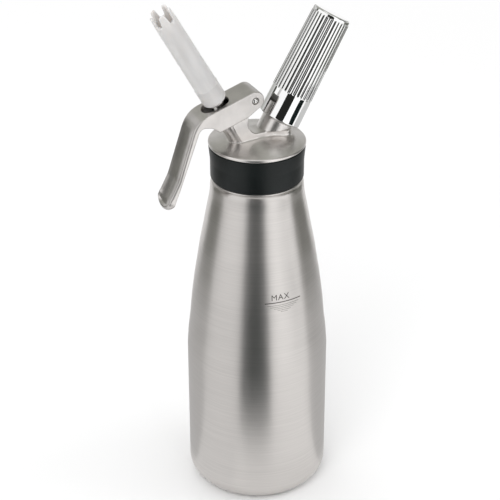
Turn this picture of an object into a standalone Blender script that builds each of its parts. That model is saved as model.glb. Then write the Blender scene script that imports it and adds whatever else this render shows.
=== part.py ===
"""Whipped cream dispenser: a steel bottle, a screw-on head with a dispensing lever, and a gas charger holder.

Metres, +Z up. The origin is the centre of the bottle's base. +X is the charger's side, -X is the nozzle's
side, and the head is symmetric about the plane y = 0. The nozzle parts are modelled along the local Z of the
nozzle axis, and the charger parts along the local Z of the charger axis.
"""

import math

import bmesh
import bpy
from mathutils import Matrix, Vector

MM = 0.001
DEG = math.pi / 180

# General sizes
CLEARANCE = 0.3 * MM
FINE_GAP = 0.25 * MM
OVERRUN = 2.0 * MM
MERGE_DISTANCE = 0.001 * MM
SHARP_ANGLE = 32 * DEG
BOTTLE_SEGMENTS = 48
ROUND_SEGMENTS = 32
SMALL_SEGMENTS = 20
ARC_STEPS = 4

# Bottle
BOTTLE_RADIUS = 47.5 * MM
BOTTLE_WALL = 0.9 * MM
BASE_CORNER = 11.5 * MM
STRAIGHT_TOP = 103.7 * MM
SHOULDER_TOP = 228.2 * MM
SHOULDER_TOP_RADIUS = 28.9 * MM
NECK_RADIUS = 26.2 * MM
NECK_FILLET = 1.6 * MM
RIM_HEIGHT = 240.5 * MM
# Share of the shoulder's height, and share of the way in from the body's radius to the shoulder's top.
SHOULDER_SHARES = (
    (0.09, 0.045),
    (0.18, 0.118),
    (0.27, 0.172),
    (0.36, 0.242),
    (0.45, 0.325),
    (0.54, 0.422),
    (0.63, 0.518),
    (0.715, 0.614),
    (0.775, 0.675),
    (0.855, 0.770),
    (0.94, 0.898),
)

# Head gasket, on the bottle's rim
GASKET_THICKNESS = 2.2 * MM
GASKET_WIDTH = 3.6 * MM
GASKET_OVERHANG = 1.0 * MM

# Head casting: skirt round the neck, lid, web and bosses
THREAD_DEPTH = 1.4 * MM
SKIRT_WALL = 1.1 * MM
SKIRT_GAP = 0.6 * MM
LIP_HEIGHT = 0.8 * MM
LIP_WIDTH = 1.0 * MM
LID_RADIUS = 31.6 * MM
LID_RIM_HEIGHT = 2.4 * MM
LID_RIM_ROUND = 0.9 * MM
LID_DOME = 4.0 * MM
PLATE_THICKNESS = 9.7 * MM
RIM_BELOW_PLANE = 0.3 * MM
WEB_HALF_WIDTH = 6.8 * MM
WEB_NOSE_FOOT = 1.95 * MM
WEB_NOSE_TOP = 0.35 * MM
WEB_SHELF_STEP = 0.5 * MM
SADDLE_RISE = 9.3 * MM
SADDLE_ROUND = 6.5 * MM
WAIST_REACH = 9.0 * MM
WEB_END_REACH = 21.0 * MM
WEB_END_TAPER = 1.6 * MM

# Silicone band round the skirt
BAND_TOP_RADIUS = 31.4 * MM
BAND_WAIST_RADIUS = 30.4 * MM
BAND_LOWER_ROUND = 0.9 * MM
BAND_FLARE_SHARES = ((0.55, 0.0), (0.72, 0.12), (0.88, 0.5), (1.0, 1.0))

# Nozzle axis, and what lies along it; heights are along the axis from the plane of the lid
NOZZLE_REACH = 9.7 * MM
NOZZLE_TILT = 29.2 * DEG
BOSS_RADIUS = 6.5 * MM
BOSS_TOP = 24.0 * MM
SPRING_BORE = 5.6 * MM
SPRING_BORE_FLOOR = 5.0 * MM
STEM_RADIUS = 3.8 * MM
CREAM_BORE = 2.4 * MM
SEAT_BOSS_RADIUS = 7.6 * MM
SEAT_DEPTH = 16.0 * MM
CHAMBER_ROOF_DEPTH = 6.0 * MM
CROSS_HOLE_RADIUS = 1.5 * MM
CROSS_HOLE_DEPTH = 11.0 * MM
BORE_END_DEPTH = 13.5 * MM
SEAL_RADIUS = 6.9 * MM
SEAL_THICKNESS = 2.3 * MM
VALVE_HEAD_RADIUS = 6.2 * MM
VALVE_HEAD_THICKNESS = 2.6 * MM
O_RING_CORD = 1.3 * MM
GUIDE_LENGTH = 5.0 * MM
COLLAR_RADIUS = 6.9 * MM
COLLAR_BOTTOM = 28.9 * MM
COLLAR_THICKNESS = 3.0 * MM
COLLAR_ROUND = 0.6 * MM
STEM_TOP = 50.0 * MM
SPRING_WIRE = 0.9 * MM
SPRING_TURNS = 6.5
SPRING_POINTS_PER_TURN = 10

# Decorating tip and its threaded insert
INSERT_FLANGE_BOTTOM = 38.6 * MM
INSERT_FLANGE_THICKNESS = 0.7 * MM
INSERT_RADIUS = 6.0 * MM
INSERT_LENGTH = 12.6 * MM
TIP_RADIUS = 7.95 * MM
TIP_END_RADIUS = 7.35 * MM
TIP_WALL = 1.4 * MM
TIP_LENGTH = 73.6 * MM
TIP_LOWER_ROUND = 2.0 * MM
TIP_SEAM_HEIGHT = 13.2 * MM
TIP_SEAM_STEP = 0.2 * MM
TIP_FINGERS = 5
TIP_NOTCH_WIDTH = 3.4 * MM
TIP_NOTCH_DEPTH = 7.2 * MM
TIP_FINGER_END_ROUND = 1.1 * MM
TIP_NOTCH_FLARE = 0.75 * MM
TIP_FINGER_PHASE = -14.0 * DEG
TIP_CURL = 0.6 * MM

# Lever; its own frame has the pivot at the origin and its top face level
PIVOT_REACH = 5.5 * MM
PIVOT_RISE = 33.1 * MM
LEVER_SLOPE = 17.95 * DEG
LEVER_WIDTH = 19.0 * MM
LEVER_INNER_WIDTH = 14.6 * MM
LEVER_PLATE = 2.2 * MM
LEVER_EDGE_ROUND = 0.9 * MM
EAR_RADIUS = 3.5 * MM
EAR_CLEARANCE = 0.4 * MM
EAR_FACE = 7.6 * MM
CHEEK_DROP = 8.45 * MM
CHEEK_FRONT_REACH = 7.8 * MM
CHEEK_BACK_REACH = 28.4 * MM
CHEEK_STEP_REACH = 32.3 * MM
CHEEK_STEP_DROP = 3.2 * MM
ARCH_REACH = 39.2 * MM
ARCH_RISE = 0.6 * MM
BEND_REACH = 40.3 * MM
BEND_ROUND = 18.4 * MM
HANDLE_REACH = 79.3 * MM
HANDLE_DROP = 46.0 * MM
HANDLE_TIP_ROUND = 1.3 * MM
HANDLE_END_ZONE = 12.5 * MM
DISH_DEPTH = 1.1 * MM
DISH_RIM = 1.2 * MM
DISH_RUN_IN = 12.0 * MM
DISH_RUN_OUT = 6.0 * MM
DISH_END_MARGIN = 4.0 * MM
# Reach share, drop share and rounding of the handle's corners, as shares of the handle's reach, drop and reach.
INNER_FLARE_SHARES = ((0.833, 0.735, 0.15), (0.880, 0.830, 0.10))
OUTER_FLARE_SHARES = ((0.933, 0.770, 0.12), (0.832, 0.622, 0.12))
INNER_END_REACH_SHARE = 0.960
OUTER_END_DROP_SHARE = 0.917
LEVER_STATIONS = 6
HANDLE_DIVISIONS = 7
SLOT_WIDTH = 12.0 * MM
SLOT_NEAR_REACH = 13.6 * MM
SLOT_FAR_REACH = 32.6 * MM
CAVITY_BACK_REACH = 35.4 * MM
CAVITY_LOW_REACH = 33.6 * MM
END_WALL_ANGLE = -20 * DEG
PAD_RADIUS = 1.5 * MM
PAD_DEPTH = 2.4 * MM
PIN_RADIUS = 2.0 * MM
PIN_HOLE_GAP = 0.25 * MM
PIN_STAND = 0.35 * MM
PIN_DOME = 0.5 * MM

# Charger axis and what lies along it
CHARGER_REACH = 7.6 * MM
CHARGER_TILT = 30.0 * DEG
SPIGOT_RADIUS = 9.2 * MM
SPIGOT_TOP = 26.0 * MM
SPIGOT_FLARE = 1.8 * MM
SPIGOT_FLARE_HEIGHT = 6.5 * MM
NECK_BORE = 4.8 * MM
PLUG_SEAT = 10.8 * MM
PLUG_LENGTH = 5.2 * MM
PIN_BORE = 1.5 * MM
PIERCING_PIN_RADIUS = 0.75 * MM
PIERCING_PIN_COLLAR = 1.9 * MM
CHECK_DISC_RADIUS = 3.7 * MM
CHECK_DISC_THICKNESS = 1.5 * MM
CHECK_CHAMBER_DEPTH = 1.9 * MM
CHARGER_SEAL_THICKNESS = 1.7 * MM
CHARGER_SEAL_HOLE = 1.9 * MM
CHARGER_BOTTOM = 18.6 * MM
CHARGER_LENGTH = 66.0 * MM
CHARGER_RADIUS = 9.0 * MM
CHARGER_NECK_RADIUS = 4.4 * MM
CHARGER_NECK_LENGTH = 8.5 * MM
CHARGER_SHOULDER = 8.0 * MM
CHARGER_WALL = 1.8 * MM
CHARGER_MOUTH_RADIUS = 2.6 * MM
CAP_RADIUS = 3.2 * MM
CAP_THICKNESS = 0.7 * MM
CAP_HOLE = 1.2 * MM
HOLDER_BOTTOM = 16.0 * MM
HOLDER_TOP = 90.8 * MM
HOLDER_RADIUS = 14.17 * MM
HOLDER_TOP_RADIUS = 12.8 * MM
HOLDER_BORE_GAP = 0.6 * MM
HOLDER_PLAIN_HEIGHT = 18.5 * MM
HOLDER_EDGE_ROUND = 0.8 * MM
HOLDER_TOP_ROUND = 2.2 * MM
FLUTE_COUNT = 36
FLUTE_DEPTH = 0.7 * MM
FLUTE_RUNOUT = 0.9 * MM
FLUTE_TOP_MARGIN = 2.6 * MM
FLUTE_LAND_SHARE = 0.42

# Heights and places worked out from the sizes above
GASKET_BOTTOM = RIM_HEIGHT + CLEARANCE
HEAD_UNDERSIDE = GASKET_BOTTOM + GASKET_THICKNESS + CLEARANCE
LID_PLANE = HEAD_UNDERSIDE + PLATE_THICKNESS
LID_RIM_BOTTOM = LID_PLANE - RIM_BELOW_PLANE
LID_RIM_TOP = LID_RIM_BOTTOM + LID_RIM_HEIGHT
SKIRT_INNER = NECK_RADIUS + THREAD_DEPTH + CLEARANCE
SKIRT_OUTER = SKIRT_INNER + SKIRT_WALL
SKIRT_BOTTOM = SHOULDER_TOP + SKIRT_GAP
PIVOT_HEIGHT = LID_PLANE + PIVOT_RISE
LEVER_TOP = EAR_RADIUS + EAR_CLEARANCE + LEVER_PLATE
COLLAR_TOP = COLLAR_BOTTOM + COLLAR_THICKNESS
TIP_BOTTOM = INSERT_FLANGE_BOTTOM + INSERT_FLANGE_THICKNESS + CLEARANCE
STEM_BORE = STEM_RADIUS + CLEARANCE
SEAL_TOP = -SEAT_DEPTH - CLEARANCE
VALVE_HEAD_TOP = SEAL_TOP - SEAL_THICKNESS - CLEARANCE
HOLDER_BORE = CHARGER_RADIUS + HOLDER_BORE_GAP
CHARGER_TOP = CHARGER_BOTTOM + CHARGER_LENGTH
PLUG_RADIUS = NECK_BORE - FINE_GAP


def clear_scene():
    """Removes what the scene starts with."""
    for obj in list(bpy.data.objects):
        bpy.data.objects.remove(obj)


def make_material(name, colour, roughness, metallic):
    """A Principled material with one colour."""
    material = bpy.data.materials.new(name)
    material.use_nodes = True
    shader = material.node_tree.nodes["Principled BSDF"]
    shader.inputs["Base Color"].default_value = (*colour, 1.0)
    shader.inputs["Roughness"].default_value = roughness
    shader.inputs["Metallic"].default_value = metallic
    return material


def make_axis(name, place, tilt):
    """An empty at a place, turned about Y, which carries the parts along its local Z."""
    axis = bpy.data.objects.new(name, None)
    axis.location = place
    axis.rotation_euler = (0, tilt, 0)
    bpy.context.scene.collection.objects.link(axis)
    return axis


def add_object(name, shape, material, axis=None):
    """An object from a closed bmesh, smooth except at its sharp edges."""
    bmesh.ops.recalc_face_normals(shape, faces=shape.faces)
    mesh = bpy.data.meshes.new(name)
    shape.to_mesh(mesh)
    shape.free()
    mesh.shade_smooth()
    mesh.set_sharp_from_angle(angle=SHARP_ANGLE)
    obj = bpy.data.objects.new(name, mesh)
    if material:
        mesh.materials.append(material)
    obj.parent = axis
    bpy.context.scene.collection.objects.link(obj)
    return obj


def combine(target, tool, operation):
    """Adds a live Boolean with a helper object, which isn't a part itself."""
    tool.hide_render = True
    tool.display_type = "WIRE"
    step = target.modifiers.new(tool.name, "BOOLEAN")
    step.operation = operation
    step.solver = "EXACT"
    step.object = tool


def cut(target, *tools):
    """Takes each helper away from the target."""
    for tool in tools:
        combine(target, tool, "DIFFERENCE")


def join(target, *tools):
    """Joins each helper to the target as one solid."""
    for tool in tools:
        combine(target, tool, "UNION")


def turned(profile, segments):
    """A profile of (radius, height) points spun about Z: a closed ring, or open with both ends on the axis."""
    shape = bmesh.new()
    verts = [shape.verts.new((radius, 0, height)) for radius, height in profile]
    edges = [shape.edges.new(pair) for pair in zip(verts, verts[1:])]
    if profile[0][0] > 0:
        edges.append(shape.edges.new((verts[-1], verts[0])))
    bmesh.ops.spin(shape, geom=verts + edges, axis=(0, 0, 1), cent=(0, 0, 0), steps=segments, angle=2 * math.pi)
    bmesh.ops.remove_doubles(shape, verts=shape.verts, dist=MERGE_DISTANCE)
    return shape


def rod(radius, bottom, top, segments=SMALL_SEGMENTS):
    """A solid cylinder along Z."""
    return turned([(0, bottom), (radius, bottom), (radius, top), (0, top)], segments)


def tube(inner, outer, bottom, top, segments=SMALL_SEGMENTS):
    """A hollow cylinder along Z."""
    return turned([(inner, bottom), (outer, bottom), (outer, top), (inner, top)], segments)


def prism(outline, half_width):
    """An outline of (x, z) points extruded across y."""
    shape = bmesh.new()
    face = shape.faces.new([shape.verts.new((x, -half_width, z)) for x, z in outline])
    grown = bmesh.ops.extrude_face_region(shape, geom=[face])["geom"]
    moved = [item for item in grown if isinstance(item, bmesh.types.BMVert)]
    bmesh.ops.translate(shape, verts=moved, vec=(0, 2 * half_width, 0))
    return shape


def lying_across(shape, x, z):
    """Turns a shape made along Z to lie along Y, at a place in the x-z plane."""
    shape.transform(Matrix.Translation((x, 0, z)) @ Matrix.Rotation(math.pi / 2, 4, "X"))
    return shape


def arc(centre, radius, start, end, steps=ARC_STEPS):
    """Points along an arc, its two ends included."""
    turn = (end - start) / steps
    return [
        (centre[0] + radius * math.cos(start + turn * k), centre[1] + radius * math.sin(start + turn * k))
        for k in range(steps + 1)
    ]


def rounded(corners, steps=ARC_STEPS):
    """A closed outline of (x, z, rounding) corners, with each corner of rounding above zero made an arc."""
    points = []
    for index, (x, z, rounding) in enumerate(corners):
        corner = Vector((x, z))
        if rounding == 0:
            points.append((x, z))
            continue
        before = Vector(corners[index - 1][:2]) - corner
        after = Vector(corners[(index + 1) % len(corners)][:2]) - corner
        half = before.angle(after) / 2
        start = corner + before.normalized() * rounding / math.tan(half)
        end = corner + after.normalized() * rounding / math.tan(half)
        centre = corner + (before.normalized() + after.normalized()).normalized() * rounding / math.sin(half)
        first = math.atan2(start.y - centre.y, start.x - centre.x)
        turn = math.remainder(math.atan2(end.y - centre.y, end.x - centre.x) - first, 2 * math.pi)
        points += arc(centre, rounding, first, first + turn, steps)
    return points


def nozzle_point(along, across):
    """World x and z of a place given along the nozzle axis and across it, towards the charger."""
    x = -NOZZLE_REACH - along * math.sin(NOZZLE_TILT) + across * math.cos(NOZZLE_TILT)
    z = LID_PLANE + along * math.cos(NOZZLE_TILT) + across * math.sin(NOZZLE_TILT)
    return x, z


def to_lever(x, z):
    """A world place in the lever's own frame."""
    right = x + PIVOT_REACH
    rise = z - PIVOT_HEIGHT
    along = right * math.cos(LEVER_SLOPE) + rise * math.sin(LEVER_SLOPE)
    return along, rise * math.cos(LEVER_SLOPE) - right * math.sin(LEVER_SLOPE)


def shoulder_radius(share, inset):
    """The shoulder's radius at a share of the way in, less the wall where it is the inner face."""
    return BOTTLE_RADIUS - (BOTTLE_RADIUS - SHOULDER_TOP_RADIUS) * share - inset


def bottle_side(inset):
    """The bottle's side from its base to the top of its shoulder, offset inwards by the inset."""
    corner = BASE_CORNER - inset
    side = arc((BOTTLE_RADIUS - BASE_CORNER, BASE_CORNER), corner, -math.pi / 2, 0)
    side.append((BOTTLE_RADIUS - inset, STRAIGHT_TOP))
    shoulder = SHOULDER_TOP - STRAIGHT_TOP
    for height_share, radius_share in SHOULDER_SHARES:
        side.append((shoulder_radius(radius_share, inset), STRAIGHT_TOP + shoulder * height_share))
    side.append((SHOULDER_TOP_RADIUS - inset, SHOULDER_TOP - inset))
    return side


def build_bottle(steel):
    """Thin-walled bottle with a flat base, a long shoulder and a plain neck."""
    outer = [(0, 0)] + bottle_side(0)
    outer += [(NECK_RADIUS, SHOULDER_TOP + NECK_FILLET), (NECK_RADIUS, RIM_HEIGHT)]
    neck_inner = NECK_RADIUS - BOTTLE_WALL
    inner = [(0, BOTTLE_WALL)] + bottle_side(BOTTLE_WALL)
    inner += [(neck_inner, SHOULDER_TOP + NECK_FILLET), (neck_inner, RIM_HEIGHT)]
    return add_object("bottle", turned(outer + inner[::-1], BOTTLE_SEGMENTS), steel)


def build_gasket(silicone):
    """Flat ring between the bottle's rim and the head."""
    outer = NECK_RADIUS + GASKET_OVERHANG
    ring = tube(outer - GASKET_WIDTH, outer, GASKET_BOTTOM, GASKET_BOTTOM + GASKET_THICKNESS, BOTTLE_SEGMENTS)
    return add_object("head_gasket", ring, silicone)


def lid_shape():
    """Lid and skirt, turned: a domed lid with a rounded rim, and a skirt with a lip that holds the band."""
    rim_low = (LID_RADIUS - LID_RIM_ROUND, LID_RIM_BOTTOM + LID_RIM_ROUND)
    rim_high = (LID_RADIUS - LID_RIM_ROUND, LID_RIM_TOP - LID_RIM_ROUND)
    profile = [(0, HEAD_UNDERSIDE), (SKIRT_INNER, HEAD_UNDERSIDE), (SKIRT_INNER, SKIRT_BOTTOM)]
    profile += [(SKIRT_OUTER + LIP_WIDTH, SKIRT_BOTTOM), (SKIRT_OUTER + LIP_WIDTH, SKIRT_BOTTOM + LIP_HEIGHT)]
    profile += [(SKIRT_OUTER, SKIRT_BOTTOM + LIP_HEIGHT), (SKIRT_OUTER, LID_RIM_BOTTOM)]
    profile += arc(rim_low, LID_RIM_ROUND, -math.pi / 2, 0, 2)
    profile += arc(rim_high, LID_RIM_ROUND, 0, math.pi / 2, 3)
    dome_span = LID_RADIUS - LID_RIM_ROUND
    dome_radius = (dome_span**2 + LID_DOME**2) / (2 * LID_DOME)
    dome_centre = LID_RIM_TOP + LID_DOME - dome_radius
    dome_angle = math.asin(dome_span / dome_radius)
    dome = arc((0, dome_centre), dome_radius, math.pi / 2 - dome_angle, math.pi / 2, 6)
    return turned(profile + dome[1:-1] + [(0, LID_RIM_TOP + LID_DOME)], BOTTLE_SEGMENTS)


def web_outline():
    """Side outline of the web: nose along the nozzle axis, ear round the pivot, saddle and right end."""
    pivot = (-PIVOT_REACH, PIVOT_HEIGHT)
    along = (pivot[0] + NOZZLE_REACH) * -math.sin(NOZZLE_TILT) + PIVOT_RISE * math.cos(NOZZLE_TILT)
    ear_top = along + EAR_RADIUS
    shelf = BOSS_TOP - WEB_SHELF_STEP
    ear_turn = math.pi / 2 + NOZZLE_TILT
    waist = Vector((-WAIST_REACH, LID_PLANE + SADDLE_RISE + SADDLE_ROUND))
    rise = Vector(pivot) - waist
    tangent = math.atan2(rise.y, rise.x) - math.asin(EAR_RADIUS / rise.length) - math.pi / 2
    ear = arc(pivot, EAR_RADIUS, tangent, ear_turn)
    corner = ear_top - EAR_FACE / 2
    points = [nozzle_point(0, -WEB_NOSE_FOOT), (WEB_END_REACH - WEB_END_TAPER, LID_PLANE)]
    points.append((WEB_END_REACH, LID_PLANE + SADDLE_RISE - WEB_END_TAPER))
    points.append((WEB_END_REACH - WEB_END_TAPER, LID_PLANE + SADDLE_RISE))
    saddle_centre = (waist.x + SADDLE_ROUND, waist.y)
    points += arc(saddle_centre, SADDLE_ROUND, -math.pi / 2, -math.pi)
    points += ear
    points += [nozzle_point(ear_top, EAR_FACE * 1.5), nozzle_point(corner, EAR_FACE), nozzle_point(shelf, EAR_FACE)]
    points.append(nozzle_point(shelf, -WEB_NOSE_TOP))
    return points


def build_head(steel, nozzle, charger):
    """The head casting, with its bores for the valve, the pivot pin and the charger's neck."""
    head = add_object("head", lid_shape(), steel)
    web = add_object("web", prism(web_outline(), WEB_HALF_WIDTH), None)
    boss = add_object("nozzle_boss", rod(BOSS_RADIUS, 0, BOSS_TOP, ROUND_SEGMENTS), None, nozzle)
    seat_roof = -CHAMBER_ROOF_DEPTH
    seat_boss = add_object("seat_boss", rod(SEAT_BOSS_RADIUS, -SEAT_DEPTH, seat_roof, ROUND_SEGMENTS), None, nozzle)
    foot = SPIGOT_RADIUS + SPIGOT_FLARE
    spigot_profile = [(0, 0), (foot, 0), (SPIGOT_RADIUS, SPIGOT_FLARE_HEIGHT), (SPIGOT_RADIUS, SPIGOT_TOP), (0, SPIGOT_TOP)]
    spigot = add_object("spigot", turned(spigot_profile, ROUND_SEGMENTS), None, charger)
    join(head, web, boss, seat_boss, spigot)

    bore_end = BOSS_TOP + OVERRUN
    stem_bore = [(0, -SEAT_DEPTH - OVERRUN), (SPRING_BORE, -SEAT_DEPTH - OVERRUN), (SPRING_BORE, seat_roof)]
    stem_bore += [(STEM_BORE, seat_roof), (STEM_BORE, SPRING_BORE_FLOOR), (SPRING_BORE, SPRING_BORE_FLOOR)]
    stem_bore += [(SPRING_BORE, bore_end), (0, bore_end)]
    stem_cut = add_object("stem_bore", turned(stem_bore, SMALL_SEGMENTS), None, nozzle)
    pin_cut = rod(PIN_RADIUS + PIN_HOLE_GAP, -LEVER_WIDTH, LEVER_WIDTH)
    pin_hole = add_object("pin_bore", lying_across(pin_cut, -PIVOT_REACH, PIVOT_HEIGHT), None)
    chamber_floor = PLUG_SEAT - CHECK_CHAMBER_DEPTH
    gas_end = -2 * PLATE_THICKNESS
    gas_bore = [(0, gas_end), (PIN_BORE, gas_end), (PIN_BORE, chamber_floor), (NECK_BORE, chamber_floor)]
    gas_bore += [(NECK_BORE, SPIGOT_TOP + OVERRUN), (0, SPIGOT_TOP + OVERRUN)]
    gas_cut = add_object("gas_bore", turned(gas_bore, SMALL_SEGMENTS), None, charger)
    cut(head, stem_cut, pin_hole, gas_cut)
    return head


def build_band(silicone):
    """Silicone band on the skirt, between the lip and the lid's rim, flared towards the top."""
    bottom = SKIRT_BOTTOM + LIP_HEIGHT + CLEARANCE
    top = LID_RIM_BOTTOM - CLEARANCE
    inner = SKIRT_OUTER + CLEARANCE
    low_centre = (BAND_WAIST_RADIUS - BAND_LOWER_ROUND, bottom + BAND_LOWER_ROUND)
    outer = arc(low_centre, BAND_LOWER_ROUND, -math.pi / 2, 0, 2)
    flare = BAND_TOP_RADIUS - BAND_WAIST_RADIUS
    for height_share, flare_share in BAND_FLARE_SHARES:
        outer.append((BAND_WAIST_RADIUS + flare * flare_share, bottom + (top - bottom) * height_share))
    return add_object("grip_band", turned([(inner, bottom)] + outer + [(inner, top)], BOTTLE_SEGMENTS), silicone)


def lever_outline():
    """The lever's side outline, level top, from the cheek's back corner round the handle to the front end."""
    corners = [(-CHEEK_BACK_REACH, -CHEEK_DROP, HANDLE_TIP_ROUND)]
    corners.append((-CHEEK_STEP_REACH, -CHEEK_STEP_DROP, 2 * HANDLE_TIP_ROUND))
    corners.append((-ARCH_REACH, ARCH_RISE, 3 * HANDLE_TIP_ROUND))
    for reach_share, drop_share, round_share in INNER_FLARE_SHARES:
        corners.append((-HANDLE_REACH * reach_share, -HANDLE_DROP * drop_share, HANDLE_REACH * round_share))
    corners.append((-HANDLE_REACH * INNER_END_REACH_SHARE, -HANDLE_DROP, HANDLE_TIP_ROUND))
    corners.append((-HANDLE_REACH, -HANDLE_DROP * OUTER_END_DROP_SHARE, HANDLE_TIP_ROUND))
    for reach_share, drop_share, round_share in OUTER_FLARE_SHARES:
        corners.append((-HANDLE_REACH * reach_share, -HANDLE_DROP * drop_share, HANDLE_REACH * round_share))
    corners.append((-BEND_REACH, LEVER_TOP, BEND_ROUND))
    front = [(0, LEVER_TOP, 0)]
    front += [(x, z, 0) for x, z in arc((0, 0), LEVER_TOP, math.pi / 2, -math.pi / 3, 2 * ARC_STEPS)[1:]]
    front.append((-CHEEK_FRONT_REACH, -CHEEK_DROP, 2 * HANDLE_TIP_ROUND))
    return rounded(corners + front)


def divide_long_sides(points, longest):
    """Adds evenly spaced points on each side longer than the given length."""
    divided = []
    for start, end in zip(points, points[1:] + points[:1]):
        parts = max(1, math.ceil(math.dist(start, end) / longest))
        for k in range(parts):
            share = k / parts
            divided.append((start[0] + (end[0] - start[0]) * share, start[1] + (end[1] - start[1]) * share))
    return divided


def inset_outline(points, depth):
    """The outline moved inwards by a depth, along the mean normal at each point."""
    moved = []
    for index, point in enumerate(points):
        before = Vector(point) - Vector(points[index - 1])
        after = Vector(points[(index + 1) % len(points)]) - Vector(point)
        along = (before.normalized() + after.normalized()).normalized()
        moved.append((point[0] + along.y * depth, point[1] - along.x * depth))
    return moved


def lever_slice(points, outer_start, across):
    """The lever's outline at a distance across its width: round handle end, dished outer face, rounded edges."""
    half = LEVER_WIDTH / 2
    end = Vector((-HANDLE_REACH, -HANDLE_DROP))
    down = (end - Vector((-BEND_REACH, LEVER_TOP))).normalized()
    inward = Vector((-down.y, down.x))
    length = (end - Vector((-BEND_REACH, LEVER_TOP))).length
    retreat = half - math.sqrt(max(0, half**2 - across**2))
    dish_share = max(0, 1 - (across / (half - DISH_RIM)) ** 2)
    edge = max(0, abs(across) - (half - LEVER_EDGE_ROUND))
    rounding = LEVER_EDGE_ROUND - math.sqrt(max(0, LEVER_EDGE_ROUND**2 - edge**2))
    shaped = []
    for index, (x, z) in enumerate(inset_outline(points, rounding)):
        place = Vector((x, z))
        before_end = (end - place).dot(down)
        run_in = min(1, max(0, (length - before_end) / DISH_RUN_IN))
        run_out = min(1, max(0, (before_end - DISH_END_MARGIN) / DISH_RUN_OUT))
        if before_end < HANDLE_END_ZONE:
            place -= down * retreat * (1 - before_end / HANDLE_END_ZONE)
        if index > outer_start:
            place += inward * DISH_DEPTH * dish_share * run_in * run_out
        shaped.append((place.x, place.y))
    return shaped


def lever_body():
    """The lever before its cuts: side outlines set across the width and skinned."""
    points = divide_long_sides(lever_outline(), HANDLE_DROP / HANDLE_DIVISIONS)
    outer_start = min(range(len(points)), key=lambda index: points[index][0])
    shape = bmesh.new()
    rings = []
    for k in range(-LEVER_STATIONS, LEVER_STATIONS + 1):
        across = LEVER_WIDTH / 2 * math.sin(math.pi / 2 * k / LEVER_STATIONS)
        rings.append([shape.verts.new((x, across, z)) for x, z in lever_slice(points, outer_start, across)])
    for lower, upper in zip(rings, rings[1:]):
        for k in range(len(lower)):
            shape.faces.new((lower[k - 1], lower[k], upper[k], upper[k - 1]))
    shape.faces.new(rings[0])
    shape.faces.new(rings[-1])
    return shape


def cavity_outline():
    """The space between the lever's cheeks, open below, round about the pivot at the front."""
    roof = LEVER_TOP - LEVER_PLATE
    floor = -2 * CHEEK_DROP
    points = [(-CAVITY_LOW_REACH, floor), (2 * LEVER_TOP, floor), (2 * LEVER_TOP, roof * math.sin(END_WALL_ANGLE))]
    points += arc((0, 0), roof, END_WALL_ANGLE, math.pi / 2)
    points.append((-CAVITY_BACK_REACH, roof))
    return points


def slot_shape():
    """The slot for the nozzle, with round ends, cut through the top plate."""
    half = SLOT_WIDTH / 2
    near = arc((-SLOT_NEAR_REACH - half, 0), half, -math.pi / 2, math.pi / 2, 2 * ARC_STEPS)
    far = arc((half - SLOT_FAR_REACH, 0), half, math.pi / 2, 3 * math.pi / 2, 2 * ARC_STEPS)
    shape = prism(near + far, LEVER_TOP)
    shape.transform(Matrix.Rotation(math.pi / 2, 4, "X"))
    shape.transform(Matrix.Translation((0, 0, LEVER_TOP)))
    return shape


def build_lever(steel, lever_axis):
    """The dispensing lever: two cheeks and a slotted plate over the valve, and a dished handle."""
    lever = add_object("lever", lever_body(), steel, lever_axis)
    cavity = add_object("lever_cavity", prism(cavity_outline(), LEVER_INNER_WIDTH / 2), None, lever_axis)
    slot = add_object("lever_slot", slot_shape(), None, lever_axis)
    hole = rod(PIN_RADIUS + PIN_HOLE_GAP, -LEVER_WIDTH, LEVER_WIDTH)
    pin_hole = add_object("lever_pin_hole", lying_across(hole, 0, 0), None, lever_axis)
    cut(lever, cavity, slot, pin_hole)
    pad_centre = COLLAR_TOP + CLEARANCE + PAD_RADIUS
    pad_x, pad_z = to_lever(*nozzle_point(pad_centre, 0))
    inner_half = LEVER_INNER_WIDTH / 2
    for name, side in (("front_pad", -1), ("back_pad", 1)):
        ends = sorted((side * (inner_half - PAD_DEPTH), side * (inner_half + CLEARANCE)))
        pad = rod(PAD_RADIUS, -ends[1], -ends[0], 12)
        join(lever, add_object(name, lying_across(pad, pad_x, pad_z), None, lever_axis))
    return lever


def build_pivot_pin(steel, lever_axis):
    """The pin through both cheeks and the ear, with domed ends that stand a little proud."""
    end = LEVER_WIDTH / 2 + PIN_STAND
    shoulder = end - PIN_DOME
    rim = PIN_RADIUS - PIN_DOME
    profile = [(0, -end), (rim, -end), (PIN_RADIUS, -shoulder), (PIN_RADIUS, shoulder), (rim, end), (0, end)]
    return add_object("pivot_pin", lying_across(turned(profile, SMALL_SEGMENTS), 0, 0), steel, lever_axis)


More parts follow.
